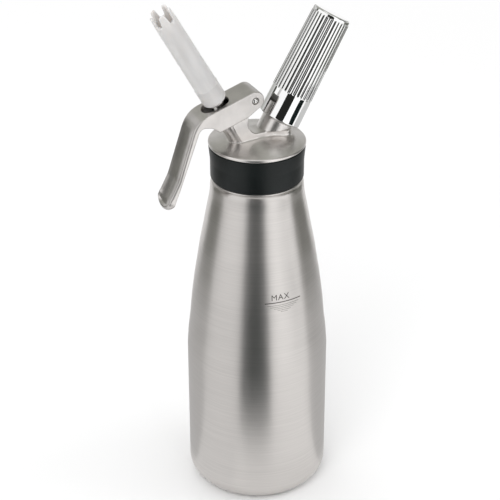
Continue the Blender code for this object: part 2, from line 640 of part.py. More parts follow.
def build_valve(steel, nozzle):
    """The hollow valve stem: head below its seat, cross holes, collar under the lever, threaded top."""
    head_bottom = VALVE_HEAD_TOP - VALVE_HEAD_THICKNESS
    profile = [(0, head_bottom), (VALVE_HEAD_RADIUS, head_bottom), (VALVE_HEAD_RADIUS, VALVE_HEAD_TOP)]
    profile += [(STEM_RADIUS, VALVE_HEAD_TOP), (STEM_RADIUS, COLLAR_BOTTOM), (COLLAR_RADIUS - COLLAR_ROUND, COLLAR_BOTTOM)]
    profile += [(COLLAR_RADIUS, COLLAR_BOTTOM + COLLAR_ROUND), (COLLAR_RADIUS, COLLAR_TOP - COLLAR_ROUND)]
    profile += [(COLLAR_RADIUS - COLLAR_ROUND, COLLAR_TOP), (STEM_RADIUS, COLLAR_TOP), (STEM_RADIUS, STEM_TOP)]
    profile += [(CREAM_BORE, STEM_TOP), (CREAM_BORE, -BORE_END_DEPTH), (0, -BORE_END_DEPTH)]
    valve = add_object("dispensing_valve", turned(profile, SMALL_SEGMENTS), steel, nozzle)
    hole = lying_across(rod(CROSS_HOLE_RADIUS, -BOSS_RADIUS, BOSS_RADIUS, 12), 0, -CROSS_HOLE_DEPTH)
    cut(valve, add_object("cross_holes", hole, None, nozzle))
    return valve


def build_valve_seal(rubber, nozzle):
    """The ring on the valve's head that closes against the seat."""
    bottom = SEAL_TOP - SEAL_THICKNESS
    return add_object("valve_seal", tube(STEM_BORE, SEAL_RADIUS, bottom, SEAL_TOP, ROUND_SEGMENTS), rubber, nozzle)


def build_o_ring(rubber, nozzle):
    """The ring that seals the stem in the boss."""
    inner = STEM_RADIUS + FINE_GAP
    cord = O_RING_CORD / 2
    centre = (inner + cord, SPRING_BORE_FLOOR + FINE_GAP + cord)
    ring = arc(centre, cord, 0, 2 * math.pi, 8)[:-1]
    return add_object("valve_o_ring", turned(ring, SMALL_SEGMENTS), rubber, nozzle)


def guide_bottom():
    """Height of the guide's lower face, over the O-ring."""
    return SPRING_BORE_FLOOR + O_RING_CORD + 2 * FINE_GAP


def build_guide(plastic, nozzle):
    """The bush that guides the stem, holds the O-ring down and carries the spring."""
    bottom = guide_bottom()
    outer = SPRING_BORE - FINE_GAP
    ring = tube(STEM_RADIUS + FINE_GAP, outer, bottom, bottom + GUIDE_LENGTH)
    return add_object("valve_guide", ring, plastic, nozzle)


def build_spring(steel, nozzle):
    """The coil spring between the guide and the valve's collar, one unbroken wire."""
    wire = SPRING_WIRE / 2
    radius = SPRING_BORE - CLEARANCE - wire
    bottom = guide_bottom() + GUIDE_LENGTH + CLEARANCE + wire
    top = COLLAR_BOTTOM - CLEARANCE - wire
    count = round(SPRING_TURNS * SPRING_POINTS_PER_TURN)
    curve = bpy.data.curves.new("valve_spring", "CURVE")
    curve.dimensions = "3D"
    curve.bevel_depth = wire
    curve.bevel_resolution = 1
    curve.use_fill_caps = True
    line = curve.splines.new("POLY")
    line.points.add(count)
    for k, point in enumerate(line.points):
        turn = 2 * math.pi * k / SPRING_POINTS_PER_TURN
        point.co = (radius * math.cos(turn), radius * math.sin(turn), bottom + (top - bottom) * k / count, 1)
    spring = bpy.data.objects.new("valve_spring", curve)
    curve.materials.append(steel)
    spring.parent = nozzle
    bpy.context.scene.collection.objects.link(spring)
    rise = (top - bottom) / SPRING_TURNS
    print(f"spring: least gap between turns {(rise - SPRING_WIRE) / MM:.2f} mm")
    return spring


def build_tip_insert(steel, nozzle):
    """The threaded insert in the tip's foot, with a flange below it."""
    bottom = INSERT_FLANGE_BOTTOM
    bore = STEM_RADIUS + CLEARANCE
    body = INSERT_RADIUS - INSERT_FLANGE_THICKNESS
    shelf = bottom + INSERT_FLANGE_THICKNESS
    profile = [(bore, bottom), (INSERT_RADIUS, bottom), (INSERT_RADIUS, shelf), (body, shelf)]
    profile += [(body, bottom + INSERT_LENGTH), (bore, bottom + INSERT_LENGTH)]
    return add_object("tip_thread_insert", turned(profile, SMALL_SEGMENTS), steel, nozzle)


def tip_radius(height):
    """The tip's outer radius at a height above its foot."""
    return TIP_RADIUS - (TIP_RADIUS - TIP_END_RADIUS) * height / TIP_LENGTH


def notch_shape(angle):
    """One U-shaped notch between two fingers, set at an angle about the axis."""
    half = TIP_NOTCH_WIDTH / 2
    end = TIP_BOTTOM + TIP_LENGTH
    floor = end - TIP_NOTCH_DEPTH + half
    side = half + TIP_NOTCH_FLARE
    corner = end - TIP_FINGER_END_ROUND
    outline = arc((0, floor), half, math.pi, 2 * math.pi) + [(side, corner), (side + TIP_FINGER_END_ROUND, end)]
    outline += [(side + TIP_FINGER_END_ROUND, end + OVERRUN), (-side - TIP_FINGER_END_ROUND, end + OVERRUN)]
    outline += [(-side - TIP_FINGER_END_ROUND, end), (-side, corner)]
    shape = prism(outline, TIP_RADIUS / 2)
    shape.transform(Matrix.Translation((0, TIP_RADIUS, 0)))
    shape.transform(Matrix.Rotation(angle, 4, "Z"))
    return shape


def build_tip(plastic, nozzle):
    """The decorating tip: a tapered tube with a wider foot, and a ring of fingers that close in a little."""
    insert_body = INSERT_RADIUS - INSERT_FLANGE_THICKNESS
    shelf = INSERT_FLANGE_BOTTOM + INSERT_LENGTH + CLEARANCE
    top = TIP_BOTTOM + TIP_LENGTH
    seam = TIP_BOTTOM + TIP_SEAM_HEIGHT
    notch_floor = top - TIP_NOTCH_DEPTH
    foot_centre = (TIP_RADIUS - TIP_LOWER_ROUND, TIP_BOTTOM + TIP_LOWER_ROUND)
    outer = arc(foot_centre, TIP_LOWER_ROUND, -math.pi / 2, 0, 3)
    outer += [(tip_radius(TIP_SEAM_HEIGHT), seam), (tip_radius(TIP_SEAM_HEIGHT) - TIP_SEAM_STEP, seam + TIP_SEAM_STEP)]
    outer.append((tip_radius(TIP_LENGTH - TIP_NOTCH_DEPTH) - TIP_SEAM_STEP, notch_floor))
    end_outer = TIP_END_RADIUS - TIP_CURL
    end_inner = end_outer - TIP_WALL
    end_centre = (end_inner + TIP_WALL / 2, top - TIP_WALL / 2)
    finger_end = arc(end_centre, TIP_WALL / 2, 0, math.pi, 4)
    bore = tip_radius(TIP_SEAM_HEIGHT) - TIP_WALL
    inner = [(tip_radius(TIP_LENGTH - TIP_NOTCH_DEPTH) - TIP_WALL, notch_floor), (bore, shelf)]
    inner += [(insert_body + CLEARANCE, shelf), (insert_body + CLEARANCE, TIP_BOTTOM)]
    tip = add_object("decorating_tip", turned(outer + finger_end + inner, ROUND_SEGMENTS), plastic, nozzle)
    step = 2 * math.pi / TIP_FINGERS
    for k in range(TIP_FINGERS):
        notch = add_object(f"tip_notch_{k + 1}", notch_shape(TIP_FINGER_PHASE + step * k), None, nozzle)
        cut(tip, notch)
    return tip


def build_plug(brass, charger):
    """The threaded plug that holds the piercing pin in the spigot."""
    profile = [(PIERCING_PIN_RADIUS + FINE_GAP, PLUG_SEAT), (PLUG_RADIUS, PLUG_SEAT)]
    profile += [(PLUG_RADIUS, PLUG_SEAT + PLUG_LENGTH), (PIERCING_PIN_RADIUS + FINE_GAP, PLUG_SEAT + PLUG_LENGTH)]
    return add_object("pin_plug", turned(profile, SMALL_SEGMENTS), brass, charger)


def build_piercing_pin(steel, charger):
    """The pin with a flat head over the plug and a pointed end in the charger's neck."""
    plug_top = PLUG_SEAT + PLUG_LENGTH
    head_bottom = plug_top + FINE_GAP
    head_top = head_bottom + PIERCING_PIN_RADIUS
    head_radius = CHARGER_SEAL_HOLE - FINE_GAP
    point_base = CHARGER_BOTTOM + CAP_THICKNESS + CHARGER_WALL / 2
    profile = [(0, PLUG_SEAT + FINE_GAP), (PIERCING_PIN_RADIUS, PLUG_SEAT + FINE_GAP), (PIERCING_PIN_RADIUS, head_bottom)]
    profile += [(head_radius, head_bottom), (head_radius, head_top), (PIERCING_PIN_RADIUS, head_top)]
    profile += [(PIERCING_PIN_RADIUS, point_base), (0, point_base + CHARGER_WALL)]
    return add_object("piercing_pin", turned(profile, 12), steel, charger)


def build_check_disc(rubber, charger):
    """The non-return disc below the plug, with a hub over the gas bore."""
    top = PLUG_SEAT - FINE_GAP
    disc = rod(CHECK_DISC_RADIUS, top - CHECK_DISC_THICKNESS + FINE_GAP, top)
    return add_object("non_return_valve", disc, rubber, charger)


def build_charger_seal(rubber, charger):
    """The washer that the charger's neck is pressed against."""
    bottom = PLUG_SEAT + PLUG_LENGTH + FINE_GAP
    ring = tube(CHARGER_SEAL_HOLE, PLUG_RADIUS, bottom, bottom + CHARGER_SEAL_THICKNESS)
    return add_object("charger_seal", ring, rubber, charger)


def charger_side(inset):
    """The charger's side from neck to domed end, offset inwards by the inset."""
    shoulder_low = CHARGER_BOTTOM + CHARGER_NECK_LENGTH
    shoulder_high = shoulder_low + CHARGER_SHOULDER
    span = CHARGER_RADIUS - CHARGER_NECK_RADIUS
    dome_centre = CHARGER_TOP - CHARGER_RADIUS
    side = []
    if inset == 0:
        side = [(CHARGER_NECK_RADIUS, CHARGER_BOTTOM), (CHARGER_NECK_RADIUS, shoulder_low)]
    for k in range(1, ARC_STEPS + 1):
        share = k / ARC_STEPS
        rise = (1 - math.cos(math.pi / 2 * share)) * CHARGER_SHOULDER
        side.append((CHARGER_NECK_RADIUS + span * math.sin(math.pi / 2 * share) - inset, shoulder_low + rise))
    side[-1] = (CHARGER_RADIUS - inset, shoulder_high)
    dome = arc((0, dome_centre), CHARGER_RADIUS - inset, 0, math.pi / 2)
    return side + dome[:-1] + [(0, dome_centre + CHARGER_RADIUS - inset)]


def build_charger(steel, charger):
    """The gas charger: a hollow steel capsule with a narrow neck and a recess for its cap."""
    recess = CHARGER_BOTTOM + CAP_THICKNESS + CLEARANCE
    cap_recess = CAP_RADIUS + FINE_GAP
    mouth = [(cap_recess, CHARGER_BOTTOM), (cap_recess, recess), (CHARGER_MOUTH_RADIUS, recess)]
    inner = charger_side(CHARGER_WALL)
    profile = mouth + inner
    return add_object("charger", turned(charger_side(0)[::-1] + profile, SMALL_SEGMENTS), steel, charger)


def build_cap(steel, charger):
    """The charger's sealing cap, pierced by the pin."""
    return add_object("charger_cap", tube(CAP_HOLE, CAP_RADIUS, CHARGER_BOTTOM, CHARGER_BOTTOM + CAP_THICKNESS), steel, charger)


def holder_radius(height):
    """The holder's outer radius at a height along the charger axis."""
    share = (height - HOLDER_BOTTOM) / (HOLDER_TOP - HOLDER_BOTTOM)
    return HOLDER_RADIUS + (HOLDER_TOP_RADIUS - HOLDER_RADIUS) * share


def holder_rings():
    """Radius, height and flute depth of each ring of the holder's outside, from its foot to its top."""
    flute_start = HOLDER_BOTTOM + HOLDER_PLAIN_HEIGHT
    flute_end = HOLDER_TOP - FLUTE_TOP_MARGIN
    low = HOLDER_BOTTOM + HOLDER_EDGE_ROUND
    rings = [(holder_radius(HOLDER_BOTTOM) - HOLDER_EDGE_ROUND, HOLDER_BOTTOM, 0), (holder_radius(low), low, 0)]
    rings.append((holder_radius(flute_start), flute_start, 0))
    rings.append((holder_radius(flute_start), flute_start + FLUTE_RUNOUT, FLUTE_DEPTH))
    rings.append((holder_radius(flute_end), flute_end - FLUTE_RUNOUT, FLUTE_DEPTH))
    rings.append((holder_radius(flute_end), flute_end, 0))
    crown_centre = (HOLDER_TOP_RADIUS - HOLDER_TOP_ROUND, HOLDER_TOP - HOLDER_TOP_ROUND)
    crown = arc(crown_centre, HOLDER_TOP_ROUND, 0, math.pi / 2, 3)
    rings += [(radius, height, 0) for radius, height in crown]
    return rings


def holder_shape():
    """The holder's outside, closed: plain foot, flutes that run out at both ends, rounded top."""
    shape = bmesh.new()
    rings = []
    for radius, height, depth in holder_rings():
        ring = []
        for k in range(FLUTE_COUNT):
            for share, cut_share in ((0, 0), (FLUTE_LAND_SHARE, 0), ((1 + FLUTE_LAND_SHARE) / 2, 1)):
                turn = 2 * math.pi * (k + share) / FLUTE_COUNT
                reach = radius - depth * cut_share
                ring.append(shape.verts.new((reach * math.cos(turn), reach * math.sin(turn), height)))
        rings.append(ring)
    for lower, upper in zip(rings, rings[1:]):
        for k in range(len(lower)):
            shape.faces.new((lower[k - 1], lower[k], upper[k], upper[k - 1]))
    shape.faces.new(rings[0])
    shape.faces.new(rings[-1])
    return shape


def build_holder(chrome, charger):
    """The chromed charger holder, fluted outside and bored for the charger and the spigot."""
    holder = add_object("charger_holder", holder_shape(), chrome, charger)
    bore = rod(HOLDER_BORE, HOLDER_BOTTOM - OVERRUN, CHARGER_TOP + CLEARANCE, ROUND_SEGMENTS)
    cut(holder, add_object("holder_bore", bore, None, charger))
    return holder


def main():
    clear_scene()
    brushed_steel = make_material("brushed_steel", (0.55, 0.54, 0.52), 0.32, 1.0)
    satin_steel = make_material("satin_steel", (0.66, 0.65, 0.63), 0.3, 1.0)
    plain_steel = make_material("plain_steel", (0.6, 0.6, 0.6), 0.25, 1.0)
    chrome = make_material("chrome", (0.85, 0.85, 0.85), 0.05, 1.0)
    brass = make_material("brass", (0.72, 0.55, 0.26), 0.3, 1.0)
    black_silicone = make_material("black_silicone", (0.03, 0.035, 0.035), 0.6, 0.0)
    red_silicone = make_material("red_silicone", (0.6, 0.06, 0.04), 0.5, 0.0)
    black_rubber = make_material("black_rubber", (0.02, 0.02, 0.02), 0.6, 0.0)
    white_plastic = make_material("white_plastic", (0.78, 0.77, 0.74), 0.45, 0.0)

    nozzle = make_axis("nozzle_axis", (-NOZZLE_REACH, 0, LID_PLANE), -NOZZLE_TILT)
    charger = make_axis("charger_axis", (CHARGER_REACH, 0, LID_PLANE), CHARGER_TILT)
    lever_axis = make_axis("lever_axis", (-PIVOT_REACH, 0, PIVOT_HEIGHT), -LEVER_SLOPE)

    build_bottle(brushed_steel)
    build_gasket(red_silicone)
    build_head(satin_steel, nozzle, charger)
    build_band(black_silicone)
    build_lever(satin_steel, lever_axis)
    build_pivot_pin(plain_steel, lever_axis)
    build_valve(plain_steel, nozzle)
    build_valve_seal(black_rubber, nozzle)
    build_o_ring(black_rubber, nozzle)
    build_guide(white_plastic, nozzle)
    build_spring(plain_steel, nozzle)
    build_tip_insert(plain_steel, nozzle)
    build_tip(white_plastic, nozzle)
    build_plug(brass, charger)
    build_piercing_pin(plain_steel, charger)
    build_check_disc(black_rubber, charger)
    build_charger_seal(black_rubber, charger)
    build_charger(plain_steel, charger)
    build_cap(plain_steel, charger)
    build_holder(chrome, charger)


main()
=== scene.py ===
"""Whipped cream dispenser: the looks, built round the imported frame.

Metres. The bottle stands on the origin along +Z, the charger leans towards +X and the nozzle towards -X.
Parts on a leaning axis are modelled upright, along Z, and then set on that axis.
"""

import math

import bpy
from mathutils import Matrix, Vector
from mathutils.kdtree import KDTree


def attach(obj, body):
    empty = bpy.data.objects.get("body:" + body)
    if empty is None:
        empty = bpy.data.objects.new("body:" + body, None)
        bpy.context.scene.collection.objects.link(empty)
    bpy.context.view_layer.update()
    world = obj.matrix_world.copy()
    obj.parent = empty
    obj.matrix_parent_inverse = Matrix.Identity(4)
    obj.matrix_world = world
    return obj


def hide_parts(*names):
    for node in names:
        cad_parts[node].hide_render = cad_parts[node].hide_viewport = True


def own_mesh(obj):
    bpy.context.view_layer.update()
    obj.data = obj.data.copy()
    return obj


MM = 0.001
MERGE = 0.002 * MM
SEGMENTS = 128
SMALL_SEGMENTS = 64
SKIN = 0.03 * MM

# Places and tilts of the leaning axes
LID_PLANE = 253.0 * MM
NOZZLE_REACH = 9.7 * MM
NOZZLE_TILT = math.radians(29.2)
CHARGER_REACH = 7.6 * MM
CHARGER_TILT = math.radians(30)
PIVOT_REACH = 5.5 * MM
PIVOT_HEIGHT = 286.1 * MM
LEVER_SLOPE = math.radians(17.95)


def leaning(x, z, tilt):
    """The turn and place that set an upright part on a leaning axis."""
    return Matrix.Translation((x, 0, z)) @ Matrix.Rotation(tilt, 4, "Y")


UPRIGHT = Matrix.Identity(4)
NOZZLE = leaning(-NOZZLE_REACH, LID_PLANE, -NOZZLE_TILT)
CHARGER = leaning(CHARGER_REACH, LID_PLANE, CHARGER_TILT)
LEVER = leaning(-PIVOT_REACH, PIVOT_HEIGHT, -LEVER_SLOPE)
FLUTES = 30
FLUTE_TURN = math.radians(1.5)
FLUTE_LOW = 34.5 * MM
FLUTE_HIGH = 88.3 * MM
FLUTE_RUN_OUT = 1.6 * MM

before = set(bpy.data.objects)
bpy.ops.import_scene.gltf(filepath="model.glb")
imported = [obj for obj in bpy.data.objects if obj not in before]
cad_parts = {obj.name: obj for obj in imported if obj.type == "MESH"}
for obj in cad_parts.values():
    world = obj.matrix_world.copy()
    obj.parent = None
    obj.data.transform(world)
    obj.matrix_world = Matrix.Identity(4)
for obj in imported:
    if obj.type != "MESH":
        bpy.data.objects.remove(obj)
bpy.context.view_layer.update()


# Shader maths


class Maths:
    """A shader value that sums, products and powers can be written with."""

    def __init__(self, tree, socket):
        self.tree = tree
        self.socket = socket

    def step(self, operation, *values):
        return add_node(self.tree, "ShaderNodeMath", {"operation": operation}, *values)["Value"]

    def __add__(self, other):
        return self.step("ADD", self, other)

    def __radd__(self, other):
        return self.step("ADD", other, self)

    def __sub__(self, other):
        return self.step("SUBTRACT", self, other)

    def __rsub__(self, other):
        return self.step("SUBTRACT", other, self)

    def __mul__(self, other):
        return self.step("MULTIPLY", self, other)

    def __rmul__(self, other):
        return self.step("MULTIPLY", other, self)

    def between(self, low, high):
        """0 below low, 1 above high and smooth in between; it falls where low is above high."""
        settings = {"interpolation_type": "SMOOTHSTEP", "clamp": True}
        rising = low < high
        ends = {"From Min": min(low, high), "From Max": max(low, high)}
        mapped = add_node(self.tree, "ShaderNodeMapRange", settings, Value=self, **ends)["Result"]
        return mapped if rising else 1 - mapped


def add_node(tree, kind, settings=None, *values, **named):
    """Adds a node with its settings, gives its sockets values or links, and returns its outputs by name."""
    node = tree.nodes.new(kind)
    for name, value in (settings or {}).items():
        setattr(node, name, value)
    for key, value in [*enumerate(values), *named.items()]:
        socket = node.inputs[key]
        if isinstance(value, Maths):
            tree.links.new(value.socket, socket)
        else:
            socket.default_value = value
    return {output.name: Maths(tree, output) for output in node.outputs}


def mix_colours(tree, share, first, second):
    """A colour between two colours."""
    node = tree.nodes.new("ShaderNodeMix")
    node.data_type = "RGBA"
    tree.links.new(share.socket, node.inputs[0])
    for socket, colour in ((node.inputs[6], first), (node.inputs[7], second)):
        if isinstance(colour, Maths):
            tree.links.new(colour.socket, socket)
        else:
            socket.default_value = (*colour, 1.0)
    return Maths(tree, node.outputs[2])


class Finish:
    """One material: constant looks on the shader's own sockets, and what varies over the surface."""

    def __init__(self, name, colour, roughness, metallic=0.0, **constants):
        self.material = bpy.data.materials.new(name)
        self.material.use_nodes = True
        self.tree = self.material.node_tree
        self.shader = self.tree.nodes["Principled BSDF"]
        self.place = self.add("ShaderNodeTexCoord")["Object"]
        self.set("Base Color", (*colour, 1.0))
        self.set("Roughness", roughness)
        self.set("Metallic", metallic)
        for socket, value in constants.items():
            self.set(socket.replace("_", " "), value)

    def add(self, kind, settings=None, *values, **named):
        return add_node(self.tree, kind, settings, *values, **named)

    def set(self, socket, value):
        if isinstance(value, Maths):
            self.tree.links.new(value.socket, self.shader.inputs[socket])
        else:
            self.shader.inputs[socket].default_value = value

    def stretched(self, scale, place=(0, 0, 0), turn=(0, 0, 0)):
        """The object's coordinates, moved to a place, turned, and then scaled per axis."""
        frame = {"Vector": self.place, "Location": place, "Rotation": turn}
        upright = self.add("ShaderNodeMapping", {"vector_type": "TEXTURE"}, **frame)["Vector"]
        return self.add("ShaderNodeMapping", None, Vector=upright, Scale=scale)["Vector"]

    def noise(self, where, detail, roughness):
        named = {"Vector": where, "Scale": 1.0, "Detail": detail, "Roughness": roughness}
        return self.add("ShaderNodeTexNoise", None, **named)["Fac"]

    def mix(self, share, first, second):
        return mix_colours(self.tree, share, first, second)

    def bump(self, height, distance, strength):
        named = {"Height": height, "Distance": distance, "Strength": strength}
        self.set("Normal", self.add("ShaderNodeBump", None, **named)["Normal"])


def brushed_bottle():
    """Steel brushed round the bottle: very fine rings that hardly change along the way round."""
    brushing = {"Anisotropic": 0.4, "Anisotropic_Rotation": 0.25}
    steel = Finish("bottle_brushed_steel", (0.63, 0.605, 0.585), 0.33, 1.0, **brushing)
    coarse = steel.noise(steel.stretched((14, 14, 1300)), 3.0, 0.6)
    fine = steel.noise(steel.stretched((40, 40, 4200)), 2.0, 0.5)
    cloud = steel.noise(steel.stretched((18, 18, 11)), 2.0, 0.5)
    streaks = coarse * 0.5 + fine * 0.5
    darker, brighter = (0.59, 0.567, 0.548), (0.66, 0.634, 0.613)
    steel.set("Base Color", steel.mix(streaks.between(0.3, 0.7), darker, brighter))
    steel.set("Roughness", 0.27 + streaks * 0.08 + cloud * 0.05)
    steel.bump(fine, 0.004 * MM, 0.25)
    return steel.material


def satin(name, colour, roughness, grain=(1500, 1500, 1500), turn=(0, 0, 0), inside=None):
    """Satin steel: a fine grain in gloss and relief, and soft clouds of wear.

    Where the function given as inside returns 1, the steel is rough, and its colour is darkened as painted
    shade.
    """
    steel = Finish(name, colour, roughness, 1.0)
    specks = steel.noise(steel.stretched(grain, turn=turn), 3.0, 0.6)
    cloud = steel.noise(steel.stretched((70, 70, 70)), 3.0, 0.55)
    darker = tuple(channel * 0.9 for channel in colour)
    brighter = tuple(min(1.0, channel * 1.07) for channel in colour)
    shade = steel.mix(cloud.between(0.3, 0.7), darker, brighter)
    gloss = roughness - 0.06 + specks * 0.08 + cloud * 0.05
    if inside:
        painted_shade_and_rough = inside(steel)
        # painted shade: the hollow is coloured near black for the shade inside it; the added roughness is its
        # rough unpolished cast surface
        shade = steel.mix(painted_shade_and_rough, shade, (0.16, 0.155, 0.15))
        gloss = gloss + painted_shade_and_rough * 0.2
    steel.set("Base Color", shade)
    steel.set("Roughness", gloss)
    steel.bump(specks, 0.003 * MM, 0.4)
    return steel.material


def under_lever(steel):
    """1 in the lever's hollow, between its cheeks and under its top plate, where the steel is rough and shade
    is painted into its colour.
    """
    upright = steel.stretched((1, 1, 1), (-PIVOT_REACH, 0, PIVOT_HEIGHT), (0, -LEVER_SLOPE, 0))
    split = steel.add("ShaderNodeSeparateXYZ", None, upright)
    between_cheeks = split["Y"].step("ABSOLUTE", split["Y"]).between(7.45 * MM, 7.35 * MM)
    under_plate = split["Z"].between(4.0 * MM, 3.85 * MM)
    before_handle = split["X"].between(-36.2 * MM, -35.6 * MM)
    return between_cheeks * under_plate * before_handle


def mirror_chrome():
    """Plated chrome with faint smudges in its gloss, and shade painted near black into the grooves."""
    chrome = Finish("holder_mirror_chrome", (0.88, 0.88, 0.875), 0.04, 1.0)
    smudge = chrome.noise(chrome.stretched((60, 60, 60)), 4.0, 0.6)
    chrome.set("Roughness", 0.025 + smudge.between(0.5, 0.8) * 0.05)
    upright = chrome.stretched((1, 1, 1), (CHARGER_REACH, 0, LID_PLANE), (0, CHARGER_TILT, 0))
    split = chrome.add("ShaderNodeSeparateXYZ", None, upright)
    flute = (split["X"].step("ARCTAN2", split["Y"], split["X"]) - FLUTE_TURN) * (FLUTES / (2 * math.pi))
    share = flute.step("FRACT", flute + 0.5) - 0.5
    groove = share.step("ABSOLUTE", share).between(0.19, 0.11)
    from_foot = split["Z"].between(FLUTE_LOW + 0.1 * MM, FLUTE_LOW + 1.1 * MM)
    from_top = split["Z"].between(FLUTE_HIGH - 0.1 * MM, FLUTE_HIGH - 1.1 * MM)
    plate = chrome.mix(smudge, (0.86, 0.86, 0.855), (0.9, 0.9, 0.895))
    # painted shade: the grooves between the reeds are coloured near black, standing in for the shade in them
    painted_groove_shade = (0.02, 0.022, 0.022)
    chrome.set("Base Color", chrome.mix(groove * from_foot * from_top * 0.9, plate, painted_groove_shade))
    return chrome.material


def cloudy_plastic():
    """Translucent warm white moulded plastic, with faint flow marks along it."""
    inner_light = {"Subsurface_Weight": 0.8, "Subsurface_Radius": (1.0, 0.92, 0.85)}
    inner_light["Subsurface_Scale"] = 4.5 * MM
    plastic = Finish("tip_cloudy_plastic", (0.585, 0.573, 0.565), 0.36, 0.0, **inner_light)
    flow = plastic.noise(plastic.stretched((260, 260, 45), turn=(0, -NOZZLE_TILT, 0)), 3.0, 0.5)
    grain = plastic.noise(plastic.stretched((1500, 1500, 1500)), 2.0, 0.5)
    darker, brighter = (0.56, 0.548, 0.54), (0.61, 0.598, 0.59)
    plastic.set("Base Color", plastic.mix(flow.between(0.3, 0.7), darker, brighter))
    plastic.set("Roughness", 0.3 + flow * 0.1)
    plastic.bump(grain, 0.01 * MM, 0.3)
    return plastic.material


def moulded(name, colour, roughness):
    """Rubber, silicone or plastic with a fine moulded grain."""
    rubber = Finish(name, colour, roughness, 0.0, Specular_IOR_Level=0.3)
    specks = rubber.noise(rubber.stretched((1100, 1100, 1100)), 2.0, 0.6)
    cloud = rubber.noise(rubber.stretched((55, 55, 55)), 3.0, 0.5)
    paler = tuple(channel * 1.25 + 0.002 for channel in colour)
    rubber.set("Base Color", rubber.mix(cloud.between(0.3, 0.75), colour, paler))
    rubber.set("Roughness", roughness - 0.05 + specks * 0.1)
    rubber.bump(specks, 0.02 * MM, 0.4)
    return rubber.material


NOZZLE_RINGS = {"grain": (400, 400, 3000), "turn": (0, -NOZZLE_TILT, 0)}
LEVER_LOOKS = {"grain": (120, 1400, 1400), "turn": (0, -LEVER_SLOPE, 0), "inside": under_lever}
FINISHES = {
    "bottle_steel": brushed_bottle(),
    "head_steel": satin("head_satin_steel", (0.74, 0.715, 0.695), 0.3),
    "lever_steel": satin("lever_satin_steel", (0.665, 0.64, 0.62), 0.29, **LEVER_LOOKS),
    "pin_steel": satin("pin_polished_steel", (0.68, 0.67, 0.655), 0.14),
    "valve_steel": satin("valve_turned_steel", (0.66, 0.65, 0.635), 0.2, **NOZZLE_RINGS),
    "spring_steel": satin("spring_drawn_wire", (0.6, 0.6, 0.59), 0.24),
    "insert_steel": satin("insert_turned_steel", (0.7, 0.69, 0.67), 0.2, **NOZZLE_RINGS),
    "charger_steel": satin("charger_zinc_plate", (0.6, 0.605, 0.61), 0.22),
    "cap_steel": satin("charger_cap_steel", (0.66, 0.65, 0.64), 0.2),
    "plug_brass": satin("plug_turned_brass", (0.74, 0.56, 0.29), 0.22),
    "holder_chrome": mirror_chrome(),
    "tip_plastic": cloudy_plastic(),
    "white_plastic": moulded("guide_white_plastic", (0.72, 0.71, 0.68), 0.45),
    "black_silicone": moulded("band_black_silicone", (0.002, 0.0042, 0.0042), 0.42),
    "black_rubber": moulded("seal_black_rubber", (0.012, 0.012, 0.012), 0.55),
    "red_silicone": moulded("gasket_red_silicone", (0.5, 0.045, 0.03), 0.5),
}
FILL_MARK = moulded("etched_fill_mark", (0.055, 0.05, 0.045), 0.6)


# Modelling tools


def deselect():
    bpy.ops.object.select_all(action="DESELECT")


def select_only(piece):
    """Leaves one object selected and active."""
    deselect()
    piece.select_set(True)
    bpy.context.view_layer.objects.active = piece


def draw(name, points, closed):
    """A line of edges drawn from one vertex, left open in edit mode and all selected."""
    deselect()
    bpy.ops.mesh.primitive_plane_add(size=MM)
    piece = bpy.context.object
    piece.name = name
    piece.data.name = name
    bpy.ops.object.mode_set(mode="EDIT")
    bpy.ops.mesh.select_mode(type="VERT")
    bpy.ops.mesh.select_all(action="SELECT")
    bpy.ops.mesh.merge(type="CENTER")
    bpy.ops.transform.translate(value=points[0])
    for start, end in zip(points, points[1:] + points[:1] if closed else points[1:]):
        bpy.ops.mesh.extrude_region_move(TRANSFORM_OT_translate={"value": Vector(end) - Vector(start)})
    bpy.ops.mesh.select_all(action="SELECT")
    bpy.ops.mesh.remove_doubles(threshold=MERGE)
    return piece


def close_up():
    """Merges doubled vertices, turns the faces outwards and leaves edit mode."""
    bpy.ops.mesh.select_all(action="SELECT")
    bpy.ops.mesh.remove_doubles(threshold=MERGE)
    bpy.ops.mesh.normals_make_consistent(inside=False)
    bpy.ops.object.mode_set(mode="OBJECT")


def turn(name, profile, segments=SEGMENTS):
    """A profile of (radius, height) points spun round Z."""
    closed = profile[0][0] > 0
    piece = draw(name, [(radius, 0, height) for radius, height in profile], closed)
    bpy.ops.mesh.spin(steps=segments, angle=2 * math.pi, center=(0, 0, 0), axis=(0, 0, 1))
    close_up()
    return piece


def slab(name, outline, stations):
    """An outline of (x, z) points, filled and extruded from station to station across y."""
    piece = draw(name, [(x, stations[0], z) for x, z in outline], True)
    bpy.ops.mesh.edge_face_add()
    for start, end in zip(stations, stations[1:]):
        bpy.ops.mesh.extrude_region_move(TRANSFORM_OT_translate={"value": (0, end - start, 0)})
    close_up()
    return piece


def plate(name, outline, low, high):
    """An outline of (x, y) points, filled and extruded upwards."""
    piece = slab(name, outline, (low, high))
    for vertex in piece.data.vertices:
        vertex.co = (vertex.co.x, vertex.co.z, vertex.co.y)
    select_only(piece)
    bpy.ops.object.mode_set(mode="EDIT")
    close_up()
    return piece


def apply(piece, kind, **settings):
    """Adds a modifier and applies it."""
    select_only(piece)
    step = piece.modifiers.new(kind, kind)
    for name, value in settings.items():
        setattr(step, name, value)
    bpy.ops.object.modifier_apply(modifier=step.name)


def combine(piece, operation, *tools):
    """Applies a Boolean with each tool, and removes the tools."""
    for tool in tools:
        apply(piece, "BOOLEAN", operation=operation, solver="EXACT", object=tool)
        bpy.data.objects.remove(tool)


def set_on(piece, place):
    """Puts a part on its axis, with the place in its mesh."""
    select_only(piece)
    piece.matrix_world = place @ piece.matrix_world
    bpy.ops.object.transform_apply()
    return piece


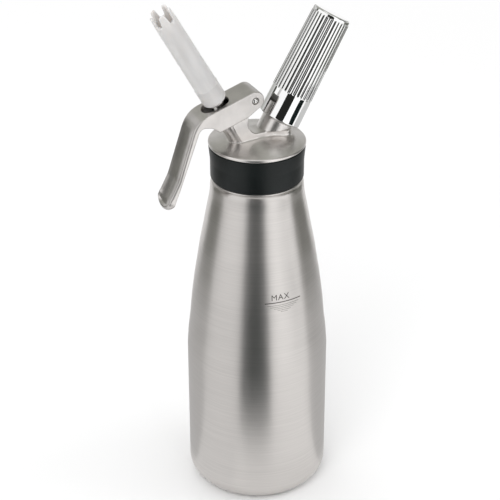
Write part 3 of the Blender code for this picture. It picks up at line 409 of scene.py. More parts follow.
def complete(piece, body, slot, nodes=(), place=UPRIGHT, material=None, angle=32, weighted=False):
    """Sets a piece on its axis, smooths it, and gives it its finish and its body."""
    set_on(piece, place)
    piece.data.materials.clear()
    piece.data.materials.append(material or FINISHES[slot])
    bpy.ops.object.shade_smooth_by_angle(angle=math.radians(angle))
    if weighted:
        apply(piece, "WEIGHTED_NORMAL", keep_sharp=True, weight=80)
    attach(piece, body)
    if nodes:
        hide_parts(*nodes)
    return piece


# Outlines


def arc(centre, radius, start, end, steps):
    """Points along an arc given in degrees, both ends included."""
    points = []
    for k in range(steps + 1):
        angle = math.radians(start + (end - start) * k / steps)
        points.append((centre[0] + radius * math.cos(angle), centre[1] + radius * math.sin(angle)))
    return points


def rounded(corners, steps=6, closed=True):
    """An outline of (across, up, rounding) corners, with an arc at each corner that has a rounding."""
    points = []
    last = len(corners) - 1
    for index, (x, z, rounding) in enumerate(corners):
        corner = Vector((x, z))
        if rounding == 0 or (not closed and index in (0, last)):
            points.append((x, z))
            continue
        before = (Vector(corners[index - 1][:2]) - corner).normalized()
        after = (Vector(corners[(index + 1) % len(corners)][:2]) - corner).normalized()
        half = before.angle(after) / 2
        start = corner + before * rounding / math.tan(half)
        end = corner + after * rounding / math.tan(half)
        centre = corner + (before + after).normalized() * rounding / math.sin(half)
        first = math.atan2(start.y - centre.y, start.x - centre.x)
        sweep = math.remainder(math.atan2(end.y - centre.y, end.x - centre.x) - first, 2 * math.pi)
        points += arc(centre, rounding, math.degrees(first), math.degrees(first + sweep), steps)
    return points


def in_mm(corners):
    """Corners written in millimetres, as metres."""
    return [tuple(value * MM for value in corner) for corner in corners]


def smooth_line(points, steps):
    """A smooth curve through the points."""
    padded = [points[0], *points, points[-1]]
    curve = []
    for group in zip(padded, padded[1:], padded[2:], padded[3:]):
        for k in range(steps):
            t = k / steps
            weights = (-t + 2 * t**2 - t**3, 2 - 5 * t**2 + 3 * t**3, t + 4 * t**2 - 3 * t**3, t**3 - t**2)
            curve.append(tuple(sum(w * p[axis] for w, p in zip(weights, group)) / 2 for axis in (0, 1)))
    return curve + [points[-1]]


def divided(points, longest):
    """An outline with points added so that no side is longer than the given length."""
    result = []
    for start, end in zip(points, points[1:] + points[:1]):
        parts = max(1, math.ceil(math.dist(start, end) / longest))
        for k in range(parts):
            share = k / parts
            result.append((start[0] + (end[0] - start[0]) * share, start[1] + (end[1] - start[1]) * share))
    return result


def unit(value):
    """The value, held between 0 and 1."""
    return min(1, max(0, value))


def eased(share):
    """A share from 0 to 1, made to start and end softly."""
    return share * share * (3 - 2 * share)


def rod(name, radius, bottom, top, segments=SMALL_SEGMENTS):
    """A plain cylinder along Z, used as a cutting tool."""
    return turn(name, [(0, bottom), (radius, bottom), (radius, top), (0, top)], segments)


def across(piece, x, z):
    """Lays a part made along Z down along Y, at a place in the x-z plane."""
    return set_on(piece, Matrix.Translation((x, 0, z)) @ Matrix.Rotation(math.pi / 2, 4, "X"))


def wind(piece, lead, turns, turn_steps):
    """Winds a closed line, still in edit mode, round Z, and closes both ends of the solid."""
    bpy.ops.mesh.edge_face_add()
    bpy.ops.object.mode_set(mode="OBJECT")
    steps = round(turns * turn_steps)
    settings = {"angle": 2 * math.pi * turns, "screw_offset": lead * turns}
    apply(piece, "SCREW", **settings, steps=steps, render_steps=steps)
    select_only(piece)
    bpy.ops.object.mode_set(mode="EDIT")
    bpy.ops.mesh.select_all(action="DESELECT")
    bpy.ops.mesh.select_mode(type="EDGE")
    bpy.ops.mesh.select_non_manifold()
    bpy.ops.mesh.edge_face_add()
    close_up()
    return piece


def thread(name, radius, bottom, lead, turns, depth, outwards=True):
    """A screw thread: a ridge with a sloping section, wound round Z."""
    foot = lead * 0.36
    crest = lead * 0.12
    side = 1 if outwards else -1
    root = radius - side * 0.2 * MM
    top = radius + side * depth
    section = [(root, -foot), (radius, -foot), (top, -crest), (top, crest), (radius, foot), (root, foot)]
    return wind(draw(name, [(r, 0, bottom + z) for r, z in section], True), lead, turns, 48)


def turned(name, corners, segments, body, slot, nodes, place=UPRIGHT, steps=4, **more):
    """A complete turned piece from its (radius, height, rounding) corners in millimetres."""
    piece = turn(name, rounded(in_mm(corners), steps), segments)
    return complete(piece, body, slot, nodes, place, **more)


# Bottle

BOTTLE_RADIUS = 47.5 * MM
BASE_ROUNDING = 11.5 * MM
HEAD_LEAD = 4 * MM
FILL_LINE_HEIGHT = 156.6 * MM
FILL_MARK_TURN = math.radians(-91.55)
SHOULDER = in_mm([(47.5, 103.7), (46.66, 114.9), (45.31, 126.1), (44.3, 137.3), (43.0, 148.5)])
SHOULDER += in_mm([(41.45, 159.7), (39.65, 170.9), (37.87, 182.1), (35.9, 192.0), (34.4, 200.0)])
SHOULDER += in_mm([(33.2, 206.5), (32.1, 212.0), (31.2, 217.0), (30.75, 221.0), (30.5, 224.6)])
SHOULDER += in_mm([(29.9, 227.0), (28.9, 228.2)])
SHOULDER_CURVE = smooth_line(SHOULDER, 4)


def bottle_radius(height):
    """The bottle's outer radius at a height on its shoulder."""
    for (r1, z1), (r2, z2) in zip(SHOULDER_CURVE, SHOULDER_CURVE[1:]):
        if z1 <= height <= z2:
            return r1 + (r2 - r1) * (height - z1) / (z2 - z1)
    return BOTTLE_RADIUS


def bottle_wall(inset):
    """The bottle's side from base to neck, offset inwards."""
    corner = arc((BOTTLE_RADIUS - BASE_ROUNDING, BASE_ROUNDING), BASE_ROUNDING - inset, -90, 0, 14)
    side = [(BOTTLE_RADIUS, height * MM) for height in (30, 55, 80)]
    neck_foot = in_mm([(27.6, 229.6), (26.6, 230.3), (26.2, 231.4)])
    return corner + [(radius - inset, height) for radius, height in side + SHOULDER_CURVE + neck_foot]


def build_bottle():
    """A turned shell with a standing ring under it and a thread on its neck."""
    standing_ring = in_mm([(0, 0.5), (30.5, 0.5), (31.2, 0)])
    rim = arc((25.75 * MM, 240.05 * MM), 0.45 * MM, 0, 180, 6)
    inside = in_mm([(0, 1.4), (30, 1.4)]) + bottle_wall(0.9 * MM)[1:]
    bottle = turn("bottle_shell", standing_ring + bottle_wall(0) + rim + inside[::-1], 160)
    complete(bottle, "bottle", "bottle_steel", ["bottle"], angle=40)
    ridge = thread("neck_thread", 26.2 * MM, 232.9 * MM, HEAD_LEAD, 1.4, 1.15 * MM)
    complete(ridge, "bottle", "bottle_steel")


def on_bottle(piece):
    """Wraps a flat mark, drawn in x and z round the fill line's middle, on to the bottle's shoulder."""
    for vertex in piece.data.vertices:
        height = FILL_LINE_HEIGHT + vertex.co.z
        radius = bottle_radius(height) + SKIN - vertex.co.y
        angle = FILL_MARK_TURN + vertex.co.x / bottle_radius(FILL_LINE_HEIGHT)
        vertex.co = (radius * math.cos(angle), radius * math.sin(angle), height)


def build_fill_mark():
    """The word over a long line, with five short lines under it."""
    upright = (math.pi / 2, 0, 0)
    lines = [(12.9, 0.0, 0.6), (11.2, -1.9, 0.2), (9.4, -3.1, 0.2)]
    lines += [(7.0, -4.3, 0.18), (4.6, -5.5, 0.18), (2.4, -6.7, 0.18)]
    marks = []
    for index, (half, drop, thickness) in enumerate(lines):
        deselect()
        bpy.ops.mesh.primitive_grid_add(x_subdivisions=24, y_subdivisions=1, size=1, rotation=upright)
        line = bpy.context.object
        line.name = f"fill_line_{index + 1}"
        line.scale = (2 * half * MM, thickness * MM, 1)
        line.location = (0, 0, drop * MM)
        bpy.ops.object.transform_apply()
        marks.append(line)
    deselect()
    bpy.ops.object.text_add(rotation=upright)
    word = bpy.context.object
    word.name = "fill_word"
    word.data.body = "MAX"
    word.data.align_x = "CENTER"
    word.data.size = 5.6 * MM
    word.data.space_character = 1.15
    word.data.extrude = SKIN
    bpy.ops.object.convert(target="MESH")
    bpy.ops.object.transform_apply()
    for vertex in word.data.vertices:
        vertex.co.x -= 2.2 * MM
        vertex.co.z += 1.7 * MM
    select_only(word)
    bpy.ops.object.mode_set(mode="EDIT")
    bpy.ops.mesh.select_all(action="SELECT")
    bpy.ops.mesh.remove_doubles(threshold=MERGE)
    bpy.ops.object.mode_set(mode="OBJECT")
    for mark in [*marks, word]:
        on_bottle(mark)
        complete(mark, "bottle", "bottle_steel", material=FILL_MARK)


# Head

DOME_REACH = 30.5 * MM
DOME_SPAN = 30.7 * MM
DOME_RISE = 4.0 * MM
DOME_FOOT = 255.1 * MM
DOME_RADIUS = (DOME_SPAN**2 + DOME_RISE**2) / (2 * DOME_RISE)
WEB_HALF = 7.2 * MM
WEB_DRAFT = 4.0
BOSS_RADIUS = 6.5 * MM
BOSS_TOP = 23.5 * MM
COLLAR_RADIUS = 10.6 * MM
SPIGOT_RADIUS = 9.2 * MM
SPIGOT_TOP = 25.8 * MM


def dome_height(radius):
    """Height of the lid's domed top at a distance from its middle."""
    return DOME_FOOT + DOME_RISE - DOME_RADIUS + math.sqrt(DOME_RADIUS**2 - radius**2)


def nozzle_point(along, over):
    """The x and z of a place along the nozzle axis and over it, towards the charger."""
    x = -NOZZLE_REACH - along * math.sin(NOZZLE_TILT) + over * math.cos(NOZZLE_TILT)
    return x, LID_PLANE + along * math.cos(NOZZLE_TILT) + over * math.sin(NOZZLE_TILT)


def web_outline():
    """Side of the web: nose on the left, shelf, ear round the pivot, waist, saddle and right end."""
    ear_face = 7.6 * MM
    points = [nozzle_point(-1 * MM, -1.95 * MM), *in_mm([(17, 252.5), (17, 262.3)])]
    points += arc((-2.4 * MM, 269.1 * MM), 6.8 * MM, -90, -180, 10)
    points.append((-9.1 * MM, 274.5 * MM))
    points += arc((-PIVOT_REACH, PIVOT_HEIGHT), 3.5 * MM, -12, 119.2, 12)
    points += [nozzle_point(29.2 * MM, 11.0 * MM), nozzle_point(27.6 * MM, ear_face)]
    points += [nozzle_point(BOSS_TOP, ear_face), nozzle_point(BOSS_TOP, -0.35 * MM)]
    return points


def web_half(height):
    """Half the web's thickness at a height; it thins a little upwards."""
    return WEB_HALF * (1 - WEB_DRAFT * (height - LID_PLANE))


def settle(casting):
    """Puts the vertices that lie close to the dome, the web's faces or a round part right on them."""
    reach, fade = 0.22 * MM, 0.14 * MM
    rounds = [(NOZZLE, BOSS_RADIUS, 4 * MM, BOSS_TOP)]
    rounds += [(CHARGER, COLLAR_RADIUS, 4 * MM, 14.6 * MM), (CHARGER, SPIGOT_RADIUS, 16 * MM, SPIGOT_TOP)]
    for vertex in casting.data.vertices:
        place = vertex.co
        from_middle = math.hypot(place.x, place.y)
        targets = []
        if from_middle < DOME_REACH - 0.1 * MM:
            targets.append(Vector((place.x, place.y, dome_height(from_middle))))
        targets.append(Vector((place.x, math.copysign(web_half(place.z), place.y), place.z)))
        for axis, radius, low, high in rounds:
            local = axis.inverted() @ place
            if low < local.z < high:
                stretch = radius / max(MERGE, math.hypot(local.x, local.y))
                targets.append(axis @ Vector((local.x * stretch, local.y * stretch, local.z)))
        nearest = min(targets, key=lambda target: (target - place).length)
        vertex.co = place.lerp(nearest, eased(unit((reach - (nearest - place).length) / fade)))


def lid_and_skirt():
    """The turned outside of the head, with the valve's seat inside."""
    seat = set_on(rod("seat_boss", 7.6 * MM, -16 * MM, -5 * MM), NOZZLE)
    dome_edge = 29.8 * MM
    profile = in_mm([(0, 243.3), (27.9, 243.3), (27.9, 229.4), (28.4, 228.8), (29.6, 228.8)])
    profile += arc((29.65 * MM, 229.2 * MM), 0.4 * MM, -80, 90, 6)
    profile += in_mm([(29.0, 229.6), (29.0, 252.7), (30.6, 252.7)])
    profile += arc((30.65 * MM, 253.7 * MM), 0.95 * MM, -80, 0, 6)
    profile += arc((30.45 * MM, 254.0 * MM), 1.15 * MM, 0, 82, 8)
    profile += [(dome_edge, dome_height(dome_edge) + SKIN), (dome_edge, 252.6 * MM), (0, 252.6 * MM)]
    skirt = turn("head_skirt", profile)
    combine(skirt, "UNION", seat)
    return skirt


def casting_on_lid():
    """Dome, web, widened right end, nozzle boss and spigot, melted into one casting with soft corners."""
    foot = 252.4 * MM
    dome = [(radius, dome_height(radius)) for radius in (DOME_REACH * k / 16 for k in range(16, -1, -1))]
    casting = turn("head_casting", [(0, foot), (DOME_REACH, foot), *dome])
    web = slab("web", divided(web_outline(), 1.5 * MM), (-WEB_HALF, 0, WEB_HALF))
    for vertex in web.data.vertices:
        vertex.co.y *= web_half(vertex.co.z) / WEB_HALF
    near_side = [(3, -6.7, 0), (9, -7.1, 14), (15.8, -9.0, 6), (21.6, -9.6, 4.6)]
    plan = near_side + [(x, -y, rounding) for x, y, rounding in reversed(near_side)]
    gusset = plate("gusset", rounded(in_mm(plan), 8), 252.5 * MM, 270 * MM)
    side = [(1, 240, 0), (24, 240, 0), (22.2, 261.9, 2.6), (13, 267.2, 0), (6, 262.2, 0), (1, 262.2, 0)]
    combine(gusset, "INTERSECT", slab("gusset_side", rounded(in_mm(side), 6), (-12 * MM, 12 * MM)))
    boss = set_on(rod("nozzle_boss", BOSS_RADIUS, -0.5 * MM, 24 * MM), NOZZLE)
    collar = in_mm([(0, 2), (10.6, 2), (10.6, 15.0), (10.2, 15.4), (9.2, 15.6), (9.2, 26), (0, 26)])
    spigot = set_on(turn("spigot", collar, 96), CHARGER)
    saddle = in_mm([(-15, 240), (30, 240), (30, 262.1), (-15, 262.1)])
    combine(spigot, "DIFFERENCE", slab("below_saddle", saddle, (-15 * MM, 15 * MM)))
    combine(casting, "UNION", web, gusset, boss, spigot)
    apply(casting, "REMESH", mode="VOXEL", voxel_size=0.4 * MM)
    apply(casting, "SMOOTH", factor=0.6, iterations=9)
    settle(casting)
    return casting


def head_bores():
    """Cutting tools for the valve's stem, the pivot pin and the gas."""
    stem = in_mm([(0, -20), (5.6, -20), (5.6, -6), (4.1, -6), (4.1, 5), (5.6, 5)])
    stem += in_mm([(5.6, 23.35), (6.1, 23.85), (6.1, 28), (0, 28)])
    bores = [set_on(turn("stem_bore", stem, 96), NOZZLE)]
    pin = in_mm([(0, -9), (2.9, -9), (2.9, -6.9), (2.3, -6.4), (2.3, 6.4), (2.9, 6.9), (2.9, 9), (0, 9)])
    bores.append(across(turn("pin_bore", pin, 48), -PIVOT_REACH, PIVOT_HEIGHT))
    gas = in_mm([(0, -20), (1.5, -20), (1.5, 8.9), (4.8, 8.9), (4.8, 25.3), (5.4, 25.75), (5.4, 30), (0, 30)])
    bores.append(set_on(turn("gas_bore", gas, 96), CHARGER))
    return bores


def build_head():
    """Lid and skirt, the casting on top, the bores that are cut after it is smoothed, and the thread."""
    skirt = lid_and_skirt()
    casting = casting_on_lid()
    bores = head_bores()
    spigot_face = set_on(rod("spigot_face", 12 * MM, SPIGOT_TOP, 30 * MM), CHARGER)
    for bore in bores:
        select_only(bore)
        bpy.ops.object.duplicate()
        combine(skirt, "DIFFERENCE", bpy.context.object)
        combine(casting, "DIFFERENCE", bore)
    combine(casting, "DIFFERENCE", spigot_face)
    complete(skirt, "head", "head_steel", ["head"], angle=35)
    complete(casting, "head", "head_steel", ["head"], angle=38, weighted=True)
    ridge = thread("head_thread", 27.9 * MM, 231.4 * MM, HEAD_LEAD, 1.6, 1.1 * MM, outwards=False)
    complete(ridge, "head", "head_steel")


def build_band():
    """Silicone band, a little flared at its top, with soft edges."""
    corners = [(29.3, 229.9, 0.3), (30.35, 229.9, 0.9), (30.4, 242.0, 20), (31.4, 252.4, 0.35)]
    corners.append((29.3, 252.4, 0.3))
    turned("grip_band_skin", corners, 160, "head", "black_silicone", ["grip_band"], steps=8)


def build_gasket():
    """Flat ring that the lid presses on the bottle's rim."""
    corners = [(23.6, 240.8, 0.5), (27.2, 240.8, 0.5), (27.2, 243.0, 0.5), (23.6, 243.0, 0.5)]
    turned("gasket_ring", corners, 96, "gasket", "red_silicone", ["head_gasket"], steps=5)


# Lever

LEVER_HALF = 9.5 * MM
LEVER_TOP = 6.1 * MM
BEND = Vector((-40.3, 6.1)) * MM
HANDLE_END = Vector((-79.3, -46.0)) * MM
HANDLE_DOWN = (HANDLE_END - BEND).normalized()
HANDLE_INWARD = Vector((-HANDLE_DOWN.y, HANDLE_DOWN.x))
HANDLE_LENGTH = (HANDLE_END - BEND).length
SOFT_EDGE = 0.8 * MM
DISH_HALF = 8.1 * MM
DISH_DEPTH = 1.35 * MM
END_ZONE = 12.5 * MM


def lever_outline():
    """Side of the lever, level top, from the cheek's back corner round the handle to the front."""
    corners = [(-28.4, -8.45, 1.4), (-32.3, -3.2, 3.2), (-39.2, 0.6, 4.2)]
    corners += [(-66.2, -33.6, 14), (-70.0, -38.0, 9), (-76.2, -46.0, 1.7)]
    corners += [(-79.4, -42.2, 2.9), (-75.2, -37.2, 12), (-65.0, -27.3, 16), (-40.3, 6.1, 18.4), (0, 6.1, 0)]
    front = [(x, z, 0) for x, z in arc((0, 0), LEVER_TOP, 84, -60, 16)]
    return rounded(in_mm(corners) + front + in_mm([(-7.8, -8.45, 2.6)]), 8)


def lever_section(points, outer_start, y):
    """The side outline at a distance across the lever: soft edges, dished handle and round handle end."""
    retreat = LEVER_HALF - math.sqrt(max(0, LEVER_HALF**2 - y**2))
    dish_share = max(0, 1 - (y / DISH_HALF) ** 2) ** 0.75
    shaped = []
    for index, point in enumerate(points):
        outer = index > outer_start
        ahead = Vector(points[(index + 1) % len(points)]) - Vector(point)
        behind = Vector(point) - Vector(points[index - 1])
        along = (ahead.normalized() + behind.normalized()).normalized()
        down_handle = unit((BEND.x + 4 * MM - point[0]) / (8 * MM)) if outer else 0
        soft = SOFT_EDGE * (1 + down_handle)
        edge = max(0, abs(y) - (LEVER_HALF - soft))
        inset = soft - math.sqrt(max(0, soft**2 - edge**2))
        place = Vector(point) + Vector((along.y, -along.x)) * inset
        before_end = (HANDLE_END - place).dot(HANDLE_DOWN)
        if before_end < END_ZONE:
            place -= HANDLE_DOWN * retreat * (1 - before_end / END_ZONE)
        if outer:
            run_in = eased(unit((HANDLE_LENGTH + 2 * MM - before_end) / (16 * MM)))
            run_out = eased(unit((before_end - 4.6 * MM) / (1.9 * MM)))
            place += HANDLE_INWARD * DISH_DEPTH * dish_share * run_in * run_out
        shaped.append((place.x, place.y))
    return shaped


def lever_casting():
    """The lever's solid, made slice by slice across its width."""
    points = divided(lever_outline(), 1.0 * MM)
    outer_start = min(range(len(points)), key=lambda index: points[index][0])
    half = 16
    stations = [LEVER_HALF * math.sin(math.pi / 2 * k / half) for k in range(-half, half + 1)]
    lever = slab("lever_casting", points, stations)
    nearest = KDTree(len(points))
    for index, (x, z) in enumerate(points):
        nearest.insert((x, 0, z), index)
    nearest.balance()
    sections = {round(y / MM, 3): lever_section(points, outer_start, y) for y in stations}
    for vertex in lever.data.vertices:
        index = nearest.find((vertex.co.x, 0, vertex.co.z))[1]
        x, z = sections[round(vertex.co.y / MM, 3)][index]
        vertex.co = (x, vertex.co.y, z)
    return lever


def build_lever():
    """Cheeks, slotted top plate and dished handle in one casting, with two pads for the valve's collar."""
    lever = lever_casting()
    cavity = in_mm([(-33.6, -16.9, 0), (13, -16.9, 0), (13, -1.3, 0)])
    cavity += [(x, z, 0) for x, z in arc((0, 0), 3.9 * MM, -20, 90, 10)] + in_mm([(-35.4, 3.9, 1.5)])
    tools = [slab("cavity", rounded(cavity, 6), (-7.3 * MM, 7.3 * MM))]
    for name, radius, low in (("slot", 6.0 * MM, 2 * MM), ("slot_edge", 6.35 * MM, 5.75 * MM)):
        left = arc((-26.6 * MM, 0), radius, 90, 270, 24)
        right = arc((-19.6 * MM, 0), radius, -90, 90, 24)
        tools.append(plate(name, left + right, low, 7 * MM))
    hole = [(2.3, 9.2), (2.5, 9.4), (2.5, 12), (0, 12)]
    hole = [(radius, -height) for radius, height in reversed(hole)] + hole
    tools.append(across(turn("pin_hole", in_mm(hole), 64), 0, 0))
    combine(lever, "DIFFERENCE", *tools)
    for side in (-1, 1):
        low, high = sorted((side * 4.9 * MM, side * 7.6 * MM))
        pad = rod("pad", 1.5 * MM, low, high, 32)
        combine(lever, "UNION", across(pad, -20.77 * MM, 2.86 * MM))
    complete(lever, "lever", "lever_steel", ["lever"], LEVER, angle=34, weighted=True)


def build_pivot_pin():
    """Polished pin with convex ends that stand a little proud of the cheeks."""
    half = rounded(in_mm([(0, 10.15, 0), (1.0, 10.1, 1.2), (1.98, 9.3, 0.5), (1.98, 0, 0)]), 5, closed=False)
    profile = half + [(radius, -height) for radius, height in half[-2::-1]]
    pin = across(turn("pivot_pin_body", profile, 64), 0, 0)
    complete(pin, "head", "pin_steel", ["pivot_pin"], LEVER, angle=50)


# Valve and tip


def build_valve():
    """Hollow stem with a collar under the lever, a threaded top, cross holes and a valve head."""
    corners = [(0, -13.5, 0), (2.4, -13.5, 0), (2.4, 49.4, 0), (2.7, 50, 0), (3.3, 50, 0), (3.8, 49.4, 0)]
    corners += [(3.8, 39.2, 0), (3.45, 38.9, 0), (3.45, 37.9, 0), (3.8, 37.6, 0), (3.8, 31.9, 0.4)]
    corners += [(6.9, 31.9, 0.7), (6.9, 28.9, 0.7), (3.8, 28.9, 0.3), (3.8, -18.9, 0.3)]
    corners += [(6.2, -18.9, 0.6), (6.2, -21.5, 1.0), (0, -21.5, 0)]
    valve = turn("valve_stem", rounded(in_mm(corners), 4, closed=False), 72)
    combine(valve, "DIFFERENCE", across(rod("cross_hole", 1.5 * MM, -6 * MM, 6 * MM, 32), 0, -11 * MM))
    complete(valve, "valve", "valve_steel", ["dispensing_valve"], NOZZLE, angle=35)
    ridge = thread("stem_thread", 3.72 * MM, 41.0 * MM, 1.0 * MM, 8, 0.28 * MM)
    complete(ridge, "valve", "valve_steel", place=NOZZLE)
    seal = [(4.1, -18.6, 0.4), (6.9, -18.6, 0.5), (6.9, -16.3, 0.5), (4.1, -16.3, 0.4)]
    turned("valve_seal_ring", seal, 64, "valve", "black_rubber", ["valve_seal"], NOZZLE)
    cord = turn("valve_o_ring_cord", arc((4.7 * MM, 5.9 * MM), 0.65 * MM, 0, 360, 16)[:-1], 64)
    complete(cord, "head", "black_rubber", ["valve_o_ring"], NOZZLE)
    guide = [(4.05, 6.8, 0.2), (5.35, 6.8, 0.2), (5.35, 11.8, 0.4), (4.05, 11.8, 0.4)]
    turned("valve_guide_bush", guide, 64, "head", "white_plastic", ["valve_guide"], NOZZLE)


def build_spring():
    """One unbroken wire, wound round the stem between the guide and the collar."""
    wire = [(4.85 * MM + x, 0, z) for x, z in arc((0, 12.55 * MM), 0.45 * MM, 0, 360, 12)[:-1]]
    spring = wind(draw("valve_spring_wire", wire, True), 2.4 * MM, 6.5, 40)
    complete(spring, "head", "spring_steel", ["valve_spring"], NOZZLE, angle=60)
    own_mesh(spring)


FINGERS = 5
FINGER_TURN = math.radians(-14)


def build_tip():
    """Translucent tip: rounded foot, seam, slight taper, and five rounded fingers that close in a little."""
    foot = rounded(in_mm([(5.6, 39.6, 0), (7.95, 39.6, 2.1), (7.86, 52.3, 0)]), 8, closed=False)
    outside = in_mm([(7.96, 52.5), (7.96, 52.8), (7.66, 53.1), (7.62, 60), (7.52, 75)])
    outside += in_mm([(7.4, 90), (7.28, 104), (7.16, 108), (6.92, 111)])
    lip = arc((6.2 * MM, 112.5 * MM), 0.7 * MM, 0, 180, 8)
    inside = in_mm([(5.6, 111), (5.8, 106), (5.9, 100), (6.25, 75), (6.44, 51.5), (5.6, 51.5)])
    tip = turn("tip_tube", foot + outside + lip + inside, 144)
    right = [(1.55, 106.0, 1.2), (2.35, 112.2, 1.5), (3.0, 113.3, 0.3), (3.0, 116, 0)]
    left = [(-x, z, rounding) for x, z, rounding in right]
    for k in range(FINGERS):
        corners = in_mm([left[0], *right, *left[:0:-1]])
        notch = slab("notch", rounded(corners, 8), (3 * MM, 10 * MM))
        set_on(notch, Matrix.Rotation(FINGER_TURN + 2 * math.pi * k / FINGERS, 4, "Z"))
        combine(tip, "DIFFERENCE", notch)
    apply(tip, "BEVEL", width=0.28 * MM, segments=2, limit_method="ANGLE", angle_limit=math.radians(50))
    complete(tip, "tip", "tip_plastic", ["decorating_tip"], NOZZLE, angle=45)
    insert = [(4.1, 38.6, 0.15), (6.0, 38.6, 0.25), (6.0, 39.3, 0.2), (5.3, 39.3, 0.1)]
    insert += [(5.3, 51.2, 0.3), (4.1, 51.2, 0.3)]
    turned("tip_insert_body", insert, 64, "tip", "insert_steel", ["tip_thread_insert"], NOZZLE, angle=35)


# Charger side

HOLDER_FOOT = 16.0 * MM
HOLDER_TOP = 90.8 * MM
HOLDER_FOOT_RADIUS = 14.17 * MM
HOLDER_TOP_RADIUS = 12.8 * MM


def holder_radius(height):
    """The holder's outer radius at a height, tapered towards its top."""
    share = (height - HOLDER_FOOT) / (HOLDER_TOP - HOLDER_FOOT)
    return HOLDER_FOOT_RADIUS + (HOLDER_TOP_RADIUS - HOLDER_FOOT_RADIUS) * share


def flute_depth(height):
    """The share of their full depth that the grooves have at a height: they run out roundly at both ends."""
    nearest = min(height - FLUTE_LOW, FLUTE_HIGH - height)
    if nearest <= 0:
        return 0
    return math.sqrt(1 - (1 - min(1, nearest / FLUTE_RUN_OUT)) ** 2)


def build_holder():
    """Chromed holder: plain foot, rounded reeds with a narrow groove between them, and a rounded crown."""
    shares = (0, 0.05, 0.1, 0.18, 0.28, 0.39, 0.5)
    groove = 0.1
    depths = [0.4 * (1 - 2 * share) ** 2 + 0.25 * max(0, 1 - share / groove) ** 1.5 for share in shares]
    per_flute = 2 * len(shares) - 2
    ends = [FLUTE_RUN_OUT * k / 7 for k in range(8)]
    margin = 0.15 * MM
    heights = [17.1 * MM, 25 * MM, FLUTE_LOW - margin, *(FLUTE_LOW + rise for rise in ends), 50 * MM, 70 * MM]
    heights += [*(FLUTE_HIGH - drop for drop in reversed(ends)), FLUTE_HIGH + margin]
    profile = in_mm([(0, 85.1), (8.0, 85.1), (9.6, 83.5), (9.6, 40), (9.6, 16.35), (9.95, 16)])
    profile += arc((holder_radius(HOLDER_FOOT) - 0.8 * MM, 16.8 * MM), 0.8 * MM, -90, 0, 5)
    profile += [(holder_radius(height), height) for height in heights]
    profile += [*arc((11.45 * MM, 89.45 * MM), 1.35 * MM, 4, 90, 9), (0, HOLDER_TOP)]
    holder = turn("holder_shell", profile, FLUTES * per_flute)
    for vertex in holder.data.vertices:
        radius = math.hypot(vertex.co.x, vertex.co.y)
        if radius < 12 * MM:
            continue
        place = math.atan2(vertex.co.y, vertex.co.x) / (2 * math.pi) * FLUTES
        offset = place - round(place)
        step = round(abs(offset) * per_flute)
        angle = (round(place) + math.copysign(shares[step], offset)) * 2 * math.pi / FLUTES + FLUTE_TURN
        radius -= MM * depths[step] * flute_depth(vertex.co.z)
        vertex.co.x = radius * math.cos(angle)
        vertex.co.y = radius * math.sin(angle)
    complete(holder, "charger_holder", "holder_chrome", ["charger_holder"], CHARGER, angle=42)
    ridge = thread("holder_thread", 9.6 * MM, 18.2 * MM, 2.5 * MM, 2.5, 0.32 * MM, outwards=False)
    complete(ridge, "charger_holder", "holder_chrome", place=CHARGER)


def build_charger():
    """Gas capsule: narrow neck, rounded shoulder, straight side and domed end, with its pierced cap."""
    corners = [(3.45, 18.6, 0.15), (4.4, 18.6, 0.4), (4.4, 27.1, 1.2), (9.0, 31.5, 5.0), (9.0, 50, 0)]
    dome = (0, 75.6 * MM)
    outside = rounded(in_mm(corners), 8, closed=False)
    outside += [*arc(dome, 9.0 * MM, 0, 90, 16)[:-1], (0, 84.6 * MM)]
    inside = [(0, 82.8 * MM), *arc(dome, 7.2 * MM, 90, 0, 10)[1:]]
    inside += in_mm([(7.2, 35.5), (6.4, 32.5), (2.6, 28.6), (2.6, 19.6), (3.45, 19.6)])
    capsule = turn("charger_capsule", outside[::-1] + inside[::-1], 96)
    complete(capsule, "charger", "charger_steel", ["charger"], CHARGER, angle=40)
    cap = [(1.2, 18.6, 0.1), (3.2, 18.6, 0.15), (3.2, 19.3, 0.15), (1.2, 19.3, 0.1)]
    turned("charger_cap_disc", cap, 48, "charger", "cap_steel", ["charger_cap"], CHARGER, steps=3)


def build_piercing_parts():
    """Washer, pin, plug and non-return disc in the spigot's bore."""
    washer = [(1.9, 16.25, 0.2), (4.55, 16.25, 0.3), (4.55, 17.95, 0.3), (1.9, 17.95, 0.2)]
    turned("charger_seal_washer", washer, 48, "head", "black_rubber", ["charger_seal"], CHARGER)
    pin = in_mm([(0, 11.05), (0.75, 11.05), (0.75, 16.25), (1.55, 16.25), (1.65, 16.35), (1.65, 16.9)])
    pin += in_mm([(1.55, 17.0), (0.75, 17.0), (0.75, 20.2), (0.12, 22.0), (0, 22.0)])
    complete(turn("piercing_pin_body", pin, 32), "head", "pin_steel", ["piercing_pin"], CHARGER)
    plug = rounded(in_mm([(1.0, 10.8, 0.1), (4.55, 10.8, 0.3), (4.55, 16.0, 0.3), (1.0, 16.0, 0.2)]), 4)
    body = turn("pin_plug_body", plug, 48)
    for k in range(3):
        port = rod("port", 0.45 * MM, 9 * MM, 18 * MM, 16)
        place = Matrix.Rotation(2 * math.pi * k / 3, 4, "Z") @ Vector((2.9 * MM, 0, 0))
        combine(body, "DIFFERENCE", set_on(port, Matrix.Translation(place)))
    complete(body, "head", "plug_brass", ["pin_plug"], CHARGER)
    disc = [(0, 9.3, 0), (3.7, 9.3, 0.4), (3.7, 10.55, 0.4), (0, 10.55, 0)]
    turned("non_return_disc", disc, 48, "head", "black_rubber", ["non_return_valve"], CHARGER)


# Stage

FRONT = 244
DIM_TINT = (1.0, 1.015, 0.91)
BLACK_TINT = (0.65, 1.0, 1.0)


